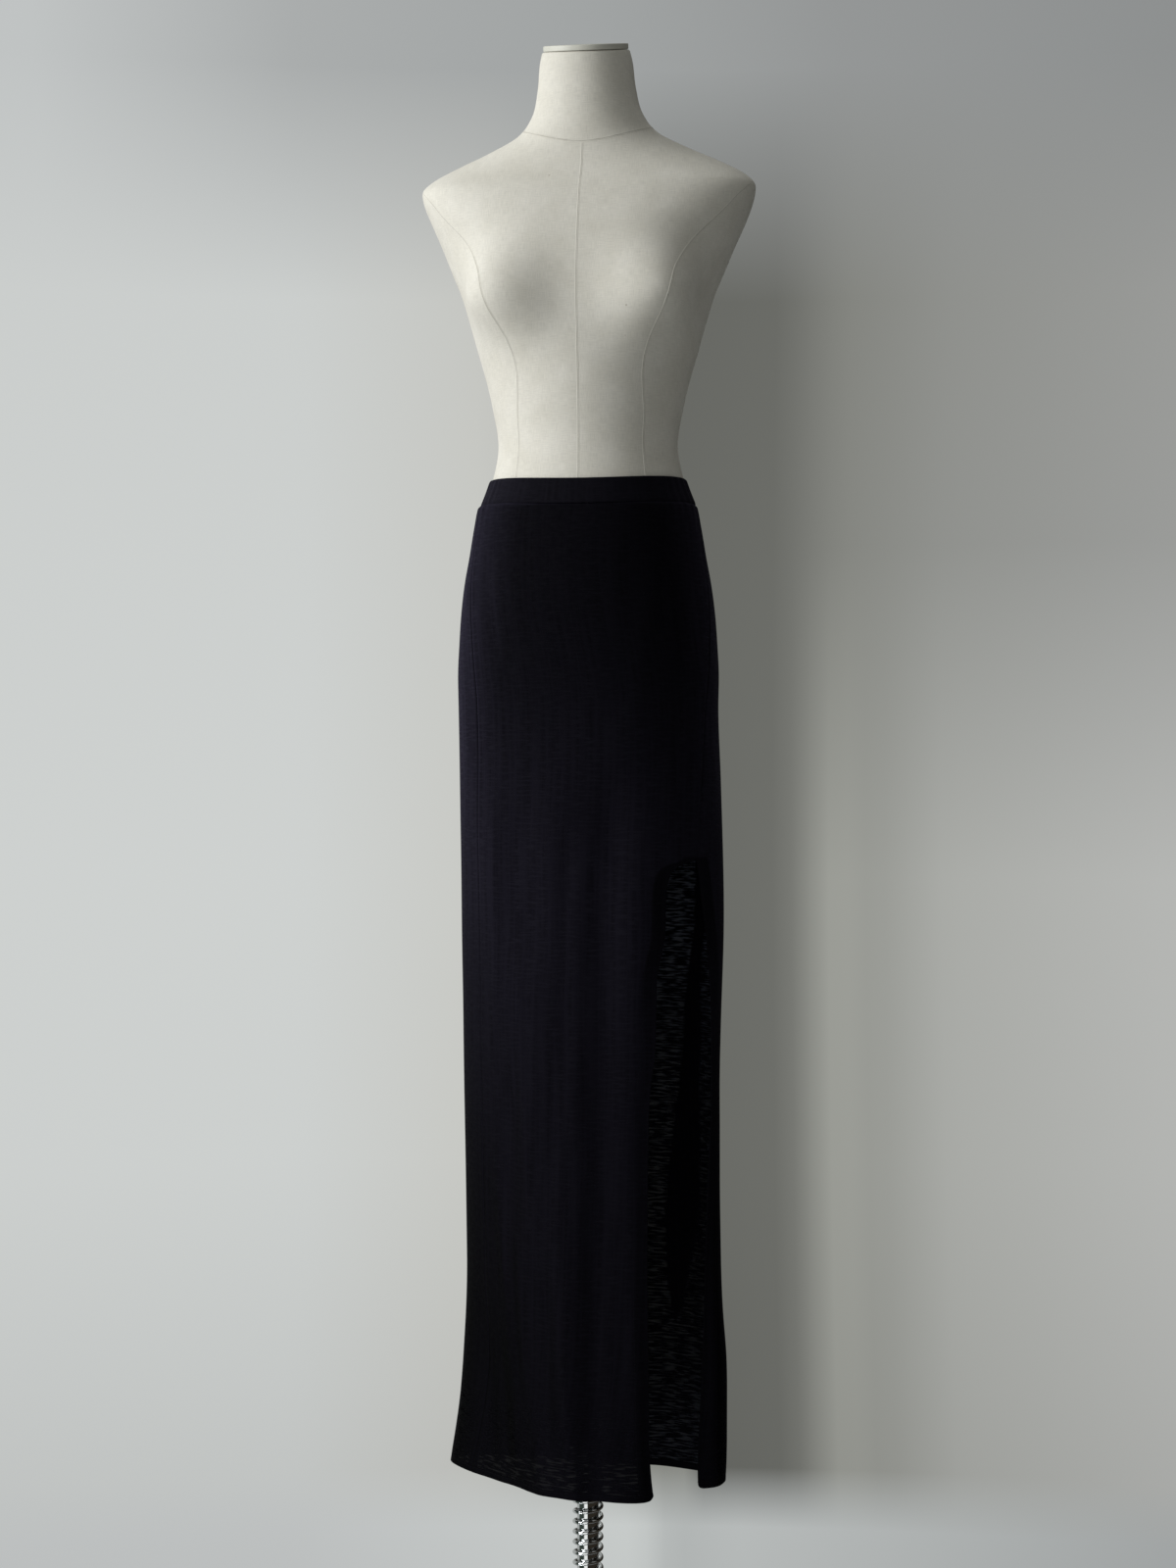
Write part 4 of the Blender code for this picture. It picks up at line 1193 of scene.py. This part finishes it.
def make_panel(name, edges, slit_first, count, material, seed):
    """A panel as a closed thin sheet, and what its stitching needs: its grid, normals and edges."""
    at_start, at_end = (SLIT_STATIONS, SEAM_STATIONS) if slit_first else (SEAM_STATIONS, SLIT_STATIONS)
    levels = np.array(panel_levels())
    points, from_start, from_end = panel_grid(edges, at_start, at_end, count)
    from_slit, from_seam = (from_start, from_end) if slit_first else (from_end, from_start)
    directions = np.degrees(np.arctan2(points[:, :, 1], points[:, :, 0]))
    rise_above_hem = (levels - HEM_HEIGHT)[:, None]
    points[:, :, 2] += hem_sway(directions, rise_above_hem) + corner_lift(from_slit, rise_above_hem)
    points[:, :, 2] += 0.0004 * near((BAND_BOTTOM - levels)[:, None], 0.0016)
    relief = panel_relief(points, levels, from_seam, from_slit, seed)
    outer = points + normals(points) * relief[:, :, None]
    facing = normals(outer)
    thickness, hem, turned_edge = panel_thickness(levels, from_slit)
    openness = (1 - np.maximum(hem, turned_edge)) * ease_in((from_seam - 0.008) / 0.002)
    low_down = ease_in((OPEN_ABOVE_HEM - levels) / 0.05)[:, None]
    inside = np.zeros_like(thickness)
    if slit_first:
        pleat = pleat_share(directions, levels)
        thickness = thickness + PLEAT_LAYERS * pleat
        openness = openness * (1 - pleat)
        inside = seen_inside(directions, levels) * openness
    openness = openness * np.maximum(low_down, inside)
    rim = RIM_THINNING * rim_share(thickness.shape)
    drawn_in = outer - facing * (rim * thickness)[:, :, None]
    inner = outer - facing * (thickness * (1 - rim))[:, :, None]
    both = np.concatenate((drawn_in, inner)).reshape(-1, 3)
    panel = new_object(name, both, sheet_faces(*thickness.shape), material)
    down = np.broadcast_to(levels[:, None], thickness.shape)
    keep_place(panel, np.concatenate((from_seam, from_seam)), np.concatenate((down, down)))
    keep_on_points(panel, "cloth_open", np.concatenate((openness, openness)).reshape(-1))
    # Both sides get the painted light and shade; only the inside gets the painted slub light.
    lights = [cloth_painted_light(levels, turned_edge, slubs) for slubs in (inside * 0, inside)]
    keep_on_points(panel, "cloth_painted_light", np.concatenate(lights))
    return panel, outer, facing, levels, from_slit


def stitch_row(path, out):
    """Small spindle-shaped stitches along a path, sunk to half their depth in the cloth."""
    run = run_of(path)
    turn = np.linspace(0, FULL_TURN, STITCH_SIDES, endpoint=False)
    far_ring = 1 + STITCH_SIDES
    parts = []
    for place in np.arange(STITCH_PITCH, run[-1] - STITCH_PITCH, STITCH_PITCH):
        start, end = points_along([place - STITCH_LENGTH / 2, place + STITCH_LENGTH / 2], run, path)
        lift = points_along(place, run, out)
        side = unit(np.cross(end - start, lift))
        points = [start - lift * STITCH_RADIUS * 0.4]
        for share in (0.2, 0.8):
            middle = start + (end - start) * share
            points.extend(middle + STITCH_RADIUS * (side * math.cos(a) + lift * math.sin(a)) for a in turn)
        points.append(end - lift * STITCH_RADIUS * 0.4)
        faces = []
        for step in range(STITCH_SIDES):
            after = (step + 1) % STITCH_SIDES
            faces.append((0, 1 + after, 1 + step))
            faces.append((1 + step, 1 + after, far_ring + after, far_ring + step))
            faces.append((far_ring + step, far_ring + after, far_ring + STITCH_SIDES))
        parts.append((points, faces))
    return parts


def row_path(outer, facing, levels, height):
    """The line of the cloth's surface at a height between its rows."""
    order = slice(None, None, -1)
    index = np.interp(height, levels[order], np.arange(len(levels))[order])
    low = int(math.floor(index))
    t = index - low
    path = outer[low] * (1 - t) + outer[low + 1] * t
    return path, facing[low]


def slit_path(outer, facing, levels, from_slit, distance):
    """The line of the cloth's surface at a distance from the slit's edge, below the slit's top."""
    path = []
    out = []
    for row, height in enumerate(levels):
        if HEM_HEIGHT + 0.001 < height < SLIT_TOP - 0.004:
            order = np.argsort(from_slit[row])
            near_row = from_slit[row][order]
            path.append(points_along(distance, near_row, outer[row][order]))
            out.append(points_along(distance, near_row, facing[row][order]))
    return np.array(path), np.array(out)


def make_stitching(name, panel_parts, material):
    """The hem's and the slit's rows of stitches on one panel."""
    outer, facing, levels, from_slit = panel_parts
    hem_line = row_path(outer, facing, levels, HEM_HEIGHT + HEM_STITCHES)
    slit_line = slit_path(outer, facing, levels, from_slit, SLIT_STITCHES)
    return joined(name, stitch_row(*hem_line) + stitch_row(*slit_line), material)


def gather_offset(directions):
    """The waistband's gathers: waves at both sides, uneven in depth, fading to front and back."""
    total = np.zeros_like(directions)
    for side in (0.0, 180.0):
        away = away_from(directions, side)
        inside = np.abs(away) < GATHER_HALF_SPAN
        bounded = np.clip(away / GATHER_HALF_SPAN, -1, 1)
        fade = np.sqrt(np.clip(np.cos(math.pi / 2 * bounded), 0, 1))
        wave = (np.cos(math.pi * GATHER_COUNT * bounded) + 1) / 2
        uneven = 1 + GATHER_UNEVENNESS * smooth_noise(away / 100, away * 0, int(side) + 5, 0.11)
        total = total + np.where(inside, GATHER_RISE * fade * wave * uneven, 0.0)
    return total


def band_height(directions, level):
    """The height of one of the waistband's levels, which rise towards the sides."""
    share = (BAND_TOP - level) / (BAND_TOP - BAND_BOTTOM)
    lift = TOP_SIDE_LIFT + (SEAM_SIDE_LIFT - TOP_SIDE_LIFT) * share
    return level + share * BAND_SEAM_GAP + lift * np.cos(np.radians(directions)) ** 2


def band_outside(share):
    """How far the band's outside stands off the form, from its top edge down."""
    return BAND_TOP_OUT + BAND_FLARE * share ** BAND_FLARE_POWER


def band_profile():
    """The waistband's closed section: (share down from its top, out from the form)."""
    inside = BAND_CLEARANCE
    middle = (inside + BAND_TOP_OUT) / 2
    half = (BAND_TOP_OUT - inside) / 2
    drop = half / (BAND_TOP - BAND_BOTTOM)
    profile = []
    for angle in np.linspace(0, math.pi, 9):
        profile.append((drop * (1 - math.sin(angle)), middle + half * math.cos(angle)))
    for share in (0.12, 0.3, 0.5, 0.7, 0.88, 0.97):
        profile.append((share, inside))
    profile.append((1.0, inside + 0.0006))
    profile.append((1.006, band_outside(1.0) - 0.0011))
    for share in (0.99, 0.95, 0.88, 0.75, 0.6, 0.45, 0.35, 0.27, 0.2, 0.14, 0.09, 0.06):
        tuck = -0.0008 * math.exp(-((1 - share) / 0.05) ** 2)
        profile.append((share, band_outside(share) + tuck))
    return profile


def make_waistband(material):
    """The doubled waistband over its elastic, with a rounded fold at the top."""
    directions = np.arange(0, 360, 0.75)
    gather = gather_offset(directions)
    profile = band_profile()
    wobble = 0.0003 * smooth_noise(directions / 90, directions * 0, 12, 0.9)
    rings = []
    for direction, rise, sway in zip(directions, gather, wobble):
        ring = []
        for share, out in profile:
            level = BAND_TOP - share * (BAND_TOP - BAND_BOTTOM)
            height = float(band_height(direction, level)) + float(sway) * (1 - share)
            outward = min(1.0, (out - BAND_CLEARANCE) / (BAND_TOP_OUT - BAND_CLEARANCE))
            ring.append(form_points(direction, round(height, 4), out + float(rise) * outward))
        rings.append(ring)
    points = np.array(rings).reshape(-1, 3)
    faces = [face[::-1] for face in ring_faces(len(directions), len(profile), closed=True)]
    band = new_object("skirt_band", points, faces, material)
    shares = np.array([share for share, _ in profile])
    keep_place(band, *np.meshgrid(np.radians(directions) * BAND_RADIUS, shares * BAND_DEPTH, indexing="ij"))
    keep_on_points(band, "cloth_painted_light", np.tile(BAND_TONE_AND_SHEEN, (len(points), 1)))
    return band


# The form


def form_levels():
    """Height rows of the form's body, closer where its outline turns quickly."""
    spans = ((FORM_BOTTOM + 0.003, 1.70, 0.0055), (1.70, 1.83, 0.0026), (1.83, FORM_TOP - 0.002, 0.0045))
    levels = []
    for low, high, step in spans:
        levels.extend(np.linspace(low, high, int(round((high - low) / step)), endpoint=False))
    levels.append(FORM_TOP - 0.002)
    return sorted((float(level) for level in levels), reverse=True)


def make_form_body(material):
    """The form's body, its rims rounded over, closed below and at the neck."""
    directions = np.arange(0, 360, 1.2)
    rings = []
    for inset, drop in ((0.030, 0.0), (0.012, 0.0), (0.0026, 0.0), (0.0009, 0.0006)):
        rings.append(form_points(directions, round(FORM_TOP - drop, 5), -inset))
    rings.extend(form_points(directions, level) for level in form_levels())
    for inset, rise in ((0.0003, 0.0015), (0.0012, 0.0006), (0.003, 0.0), (0.03, 0.0), (0.07, 0.0)):
        rings.append(form_points(directions, round(FORM_BOTTOM + rise, 5), -inset))
    faces = capped_faces(len(rings), len(directions))
    body = new_object("form_body", np.concatenate(rings), faces, material)
    runs = [run_of(np.concatenate((ring, ring[:1])))[:-1] for ring in rings]
    from_front = np.array([run - np.interp(270.0, directions, run) for run in runs])
    keep_place(body, from_front, np.array(rings)[:, :, 2])
    body.data.set_sharp_from_angle(angle=math.radians(60))
    return body


def form_normals(direction, height):
    """Outward normal of the form's skin at one place."""
    step = 0.4
    rise = 0.0015
    beside = form_points(direction + step, height) - form_points(direction - step, height)
    above = form_points(direction, height + rise) - form_points(direction, height - rise)
    return unit(np.cross(beside, above))


def seam_strip(places, raised=1.0):
    """A seam's narrow welt over (direction, height) places on the form."""
    path = np.array([form_points(direction, height) for direction, height in places])
    out = np.array([form_normals(direction, height) for direction, height in places])
    profile = [
        (sideways, rise * raised if rise > 0 else rise, depth)
        for sideways, rise, depth in WELT_PROFILE
    ]
    return swept(path, out, profile)


def seam_heights(low, high):
    return [float(height) for height in np.arange(low, high, SEAM_STEP)]


def princess_offset(height, name):
    heights = column(PRINCESS_SEAM, PRINCESS_COLUMNS, "height")
    return smooth_value(height, heights, column(PRINCESS_SEAM, PRINCESS_COLUMNS, name))


def neck_seam_height(direction):
    return NECK_SEAM_HEIGHT + NECK_SEAM_RISE * math.cos(math.radians(direction)) ** 2


def make_form_seams(material):
    """Centre, princess, side and neck seams of the form's cover."""
    low = FORM_BOTTOM + 0.004
    strips = []
    for middle in (-90.0, 90.0):
        heights = seam_heights(low, neck_seam_height(middle))
        strips.append(seam_strip([(middle, height) for height in heights], CENTRE_SEAM_RAISED))
    heights = seam_heights(neck_seam_height(90.0) + 0.001, FORM_TOP - 0.003)
    strips.append(seam_strip([(90.0, height) for height in heights]))
    for side in (0.0, 180.0):
        strips.append(seam_strip([(side, height) for height in seam_heights(low, SIDE_SEAM_TOP)]))
    for middle, name in ((-90.0, "front"), (90.0, "back")):
        for way in (-1, 1):
            heights = seam_heights(low, PRINCESS_SEAM_TOP)
            strips.append(seam_strip([(middle + way * princess_offset(h, name), h) for h in heights]))
    turn = [float(angle) for angle in np.arange(0, 361, 3.0)]
    strips.append(seam_strip([(angle, neck_seam_height(angle)) for angle in turn]))
    seams = joined("form_seams", strips, material)
    points = np.array([vertex.co[:] for vertex in seams.data.vertices])
    directions = np.degrees(np.arctan2(points[:, 1], points[:, 0]))
    keep_place(seams, directions * FORM_RUN_PER_DEGREE, points[:, 2])
    depths = [depth for _, _, depth in WELT_PROFILE]
    keep_on_points(seams, "seam_line_and_shade", depths * (len(points) // len(depths)))
    return seams


def make_cap(material):
    """The tipped neck cap: a thin disc with a rounded edge and a slight crown."""
    top = form_row(FORM_TOP)
    profile = [(0.0, CAP_THICKNESS + 0.0004), (CAP_RADIUS * 0.4, CAP_THICKNESS + 0.0003),
               (CAP_RADIUS * 0.8, CAP_THICKNESS), (CAP_RADIUS, CAP_THICKNESS - 0.0003),
               (CAP_RADIUS, 0.0002), (CAP_RADIUS - 0.0006, 0.0), (0.0, 0.0)]
    cap = turned("form_cap", rounded(profile, 0.0012), 96, material)
    tip = math.atan(top["nod"])
    for vertex in cap.data.vertices:
        x, y, z = vertex.co
        z = z + GAP
        vertex.co = (
            x,
            top["centre"] + y * math.cos(tip) - z * math.sin(tip),
            top["height"] + y * math.sin(tip) + z * math.cos(tip),
        )
    cap.data.update()
    return cap


# The stand


def collar(name, low, high, radius, material, foot=None):
    """A rounded ring bored for the pole; its foot may be wider than its top."""
    bore = POLE_RADIUS + GAP
    corners = [(bore, high), (radius, high), (foot or radius, low), (bore, low)]
    closed = [corners[-1]] + corners + [corners[0]]
    return turned(name, rounded(closed, 0.0011)[1:-1], 96, material, closed=True)


def spring_line(low):
    """The coil's middle line, closed up at its two end turns and open between them."""
    closed_pitch = 2 * WIRE_RADIUS + GAP
    coarse = [low]
    steps = SPRING_TURNS * COARSE_STEPS
    for step in range(steps):
        turns_from_end = min(step, steps - step) / COARSE_STEPS
        opening = float(ease_in(turns_from_end - 0.5))
        coarse.append(coarse[-1] + (closed_pitch + (SPRING_PITCH - closed_pitch) * opening) / COARSE_STEPS)
    turn = np.linspace(0, SPRING_TURNS * FULL_TURN, SPRING_TURNS * SPRING_STEPS + 1)
    height = np.interp(turn, np.arange(steps + 1) / COARSE_STEPS * FULL_TURN, coarse)
    return np.stack([SPRING_RADIUS * np.cos(turn), SPRING_RADIUS * np.sin(turn), height], axis=1)


def make_spring(line, material):
    """A round wire wound about the pole, with flat ends."""
    outward = unit(line * (1, 1, 0))
    upward = unit(np.cross(outward, unit(np.gradient(line, axis=0))))
    turn = np.linspace(0, FULL_TURN, 12, endpoint=False)
    rings = [line + WIRE_RADIUS * (outward * math.cos(angle) + upward * math.sin(angle)) for angle in turn]
    points = np.stack(rings, axis=1).reshape(-1, 3)
    spring = new_object("spring_coil", points, capped_faces(len(line), len(turn)), material)
    spring.data.set_sharp_from_angle(angle=math.radians(60))
    return spring


def make_stand(chrome, base_chrome):
    """The base, pole, hub, spring and the two collars, each under the name of its plain node."""
    hub_low = BASE_THICKNESS + GAP
    hub_high = hub_low + HUB_HEIGHT
    socket_high = FORM_BOTTOM - GAP
    socket_low = socket_high - SOCKET_HEIGHT
    line = spring_line(hub_high + WIRE_RADIUS + GAP)
    stop_low = float(line[-1][2]) + WIRE_RADIUS + GAP
    stop_high = stop_low + STOP_HEIGHT
    base = [(BASE_RADIUS * out, BASE_THICKNESS * up) for out, up in BASE_PROFILE] + [(0.0, 0.0)]
    pole = [(0.0, socket_high), (POLE_RADIUS, socket_high), (POLE_RADIUS, hub_low), (0.0, hub_low)]
    return {
        "stand_base": turned("base_plate", rounded(base, 0.004), 160, base_chrome),
        "stand_pole": turned("pole_tube", rounded(pole, 0.0008), 72, chrome),
        "stand_hub": collar("pole_hub", hub_low, hub_high, STOP_RADIUS, chrome, HUB_RADIUS),
        "stand_spring": make_spring(line, chrome),
        "stand_spring_stop": collar("spring_stop", stop_low, stop_high, STOP_RADIUS, chrome),
        "stand_form_socket": collar("form_socket", socket_low, socket_high, SOCKET_RADIUS, chrome),
    }


# Camera, light and floor


def make_camera():
    data = bpy.data.cameras.new("photo_camera")
    data.sensor_fit = "VERTICAL"
    data.sensor_height = FILM_HEIGHT
    data.lens = CAMERA_LENS
    data.clip_start = 0.05
    camera = bpy.data.objects.new("photo_camera", data)
    camera.location = (
        CAMERA_DISTANCE * math.sin(CAMERA_AZIMUTH),
        -CAMERA_DISTANCE * math.cos(CAMERA_AZIMUTH),
        CAMERA_HEIGHT,
    )
    camera.rotation_euler = (math.radians(90), 0.0, CAMERA_AZIMUTH)
    bpy.context.scene.collection.objects.link(camera)
    bpy.context.scene.camera = camera


def add_area_light(name, place, target, size, power, color):
    data = bpy.data.lights.new(name, "AREA")
    data.shape = "SQUARE"
    data.size = size
    data.energy = power
    data.color = color
    light = bpy.data.objects.new(name, data)
    light.location = place
    light.rotation_euler = (Vector(target) - Vector(place)).to_track_quat("-Z", "Y").to_euler()
    bpy.context.scene.collection.objects.link(light)


def dot_of(tree, place, direction):
    return add_node(tree, "VectorMath", {0: place, 1: direction}, operation="DOT_PRODUCT").outputs["Value"]


def make_world():
    """A pale room: what the camera sees of its wall, the light it gives, and what chrome mirrors."""
    world = bpy.data.worlds.new("pale_room")
    bpy.context.scene.world = world
    world.use_nodes = True
    tree = world.node_tree
    sine = math.sin(CAMERA_AZIMUTH)
    cosine = math.cos(CAMERA_AZIMUTH)
    place = add_node(tree, "TexCoord").outputs["Generated"]
    up = add_node(tree, "SeparateXYZ", {0: place}).outputs["Z"]
    sideways = dot_of(tree, place, (cosine, sine, 0.0))
    towards_camera = dot_of(tree, place, (sine, -cosine, 0.0))
    to_right = range_of(tree, sideways, -1.0, 1.0)
    beside_form, above_form, low, near_floor, room = (
        ramp_of(tree, to_right, stops)
        for stops in (WALL_BESIDE_FORM, WALL_ABOVE_FORM, WALL_LOW, WALL_NEAR_FLOOR, ROOM_LIGHT)
    )
    wall = color_mix(tree, range_of(tree, up, 0.20, 0.29), beside_form, above_form)
    wall = color_mix(tree, range_of(tree, up, 0.10, -0.04), wall, low, "MULTIPLY")
    wall = color_mix(tree, range_of(tree, up, -0.278, -0.300), wall, near_floor)
    wall = multiplied(tree, wall, ramp_of(tree, range_of(tree, up, -0.35, 0.25), WALL_BY_HEIGHT))
    lit = range_of(tree, up, -1.0, 1.0, 0.11, 0.63)
    lit = math_of(tree, "ADD", lit, range_of(tree, up, 0.35, 1.0, 0.0, OVERHEAD_LIGHT))
    turn = math_of(tree, "ARCTAN2", sideways, towards_camera)
    mirrored = ramp_of(tree, range_of(tree, turn, -math.pi, math.pi), MIRRORED_ROOM)
    mirrored = color_mix(tree, range_of(tree, up, 0.55, 0.85), mirrored, MIRRORED_CEILING)
    rays = add_node(tree, "LightPath").outputs
    color = color_mix(tree, rays["Is Camera Ray"], multiplied(tree, room, lit), wall)
    color = color_mix(tree, rays["Is Glossy Ray"], color, mirrored)
    tree.links.new(color, tree.nodes["Background"].inputs["Color"])


def make_floor(material):
    """A round floor whose far edge lies behind the stand, left out of what the chrome mirrors."""
    ahead = FLOOR_RADIUS - FLOOR_BEHIND
    x = ahead * math.sin(CAMERA_AZIMUTH)
    y = -ahead * math.cos(CAMERA_AZIMUTH)
    turn = np.linspace(0, FULL_TURN, FLOOR_SIDES, endpoint=False)
    points = [(x + FLOOR_RADIUS * math.cos(a), y + FLOOR_RADIUS * math.sin(a), -GAP) for a in turn]
    floor = new_object("floor", points, [tuple(range(FLOOR_SIDES))], material)
    floor.visible_glossy = False


def place_piece(obj, slot, *nodes):
    """Fastens a piece to the only body and hides the nodes it stands in for."""
    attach(obj, "root")
    if nodes:
        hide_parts(*nodes)


def make_skirt():
    jersey = make_jersey("skirt_jersey", (0.0047, 0.0041, 0.0070), (0.0066, 0.0059, 0.0096), True)
    binding = make_jersey("waistband_jersey", (0.0046, 0.0041, 0.0064), (0.0058, 0.0052, 0.0080), False)
    thread = make_thread()
    band = make_waistband(binding)
    front, *front_parts = make_panel("skirt_front", FRONT_EDGES, False, FRONT_COLUMNS, jersey, 31)
    back, *back_parts = make_panel("skirt_back", BACK_EDGES, True, BACK_COLUMNS, jersey, 57)
    front_thread = make_stitching("skirt_front_stitching", front_parts, thread)
    back_thread = make_stitching("skirt_back_stitching", back_parts, thread)
    place_piece(band, "waistband_jersey", "skirt_waistband")
    place_piece(front, "skirt_jersey", "skirt_front_panel")
    place_piece(back, "skirt_jersey", "skirt_back_panel")
    place_piece(front_thread, "skirt_jersey")
    place_piece(back_thread, "skirt_jersey")


def make_form():
    linen = make_linen("form_linen", (0.735, 0.70, 0.625), (0.665, 0.63, 0.55), 0.00022)
    body = make_form_body(linen)
    seams = make_form_seams(linen)
    cap = make_cap(make_cap_board())
    place_piece(body, "form_linen", "form_torso")
    place_piece(seams, "form_linen")
    place_piece(cap, "form_cap", "form_neck_cap")


def make_stand_pieces():
    chrome = make_chrome("stand_chrome", (0.74, 0.75, 0.75), 0.035, 0.11, (20.0, 20.0, 2600.0))
    base_chrome = make_chrome("base_chrome", (0.68, 0.69, 0.70), 0.16, 0.22, (90.0, 90.0, 900.0))
    for node, piece in make_stand(chrome, base_chrome).items():
        place_piece(piece, "base_chrome" if node == "stand_base" else "stand_chrome", node)


def main():
    make_camera()
    make_form()
    make_skirt()
    make_stand_pieces()
    make_floor(make_floor_paint())
    make_world()
    add_area_light("window", (-2.50, -1.30, 2.10), (0.0, 0.0, 1.35), 1.5, 85.0, (0.965, 0.99, 1.0))
    bpy.context.scene.view_settings.view_transform = "Standard"


main()
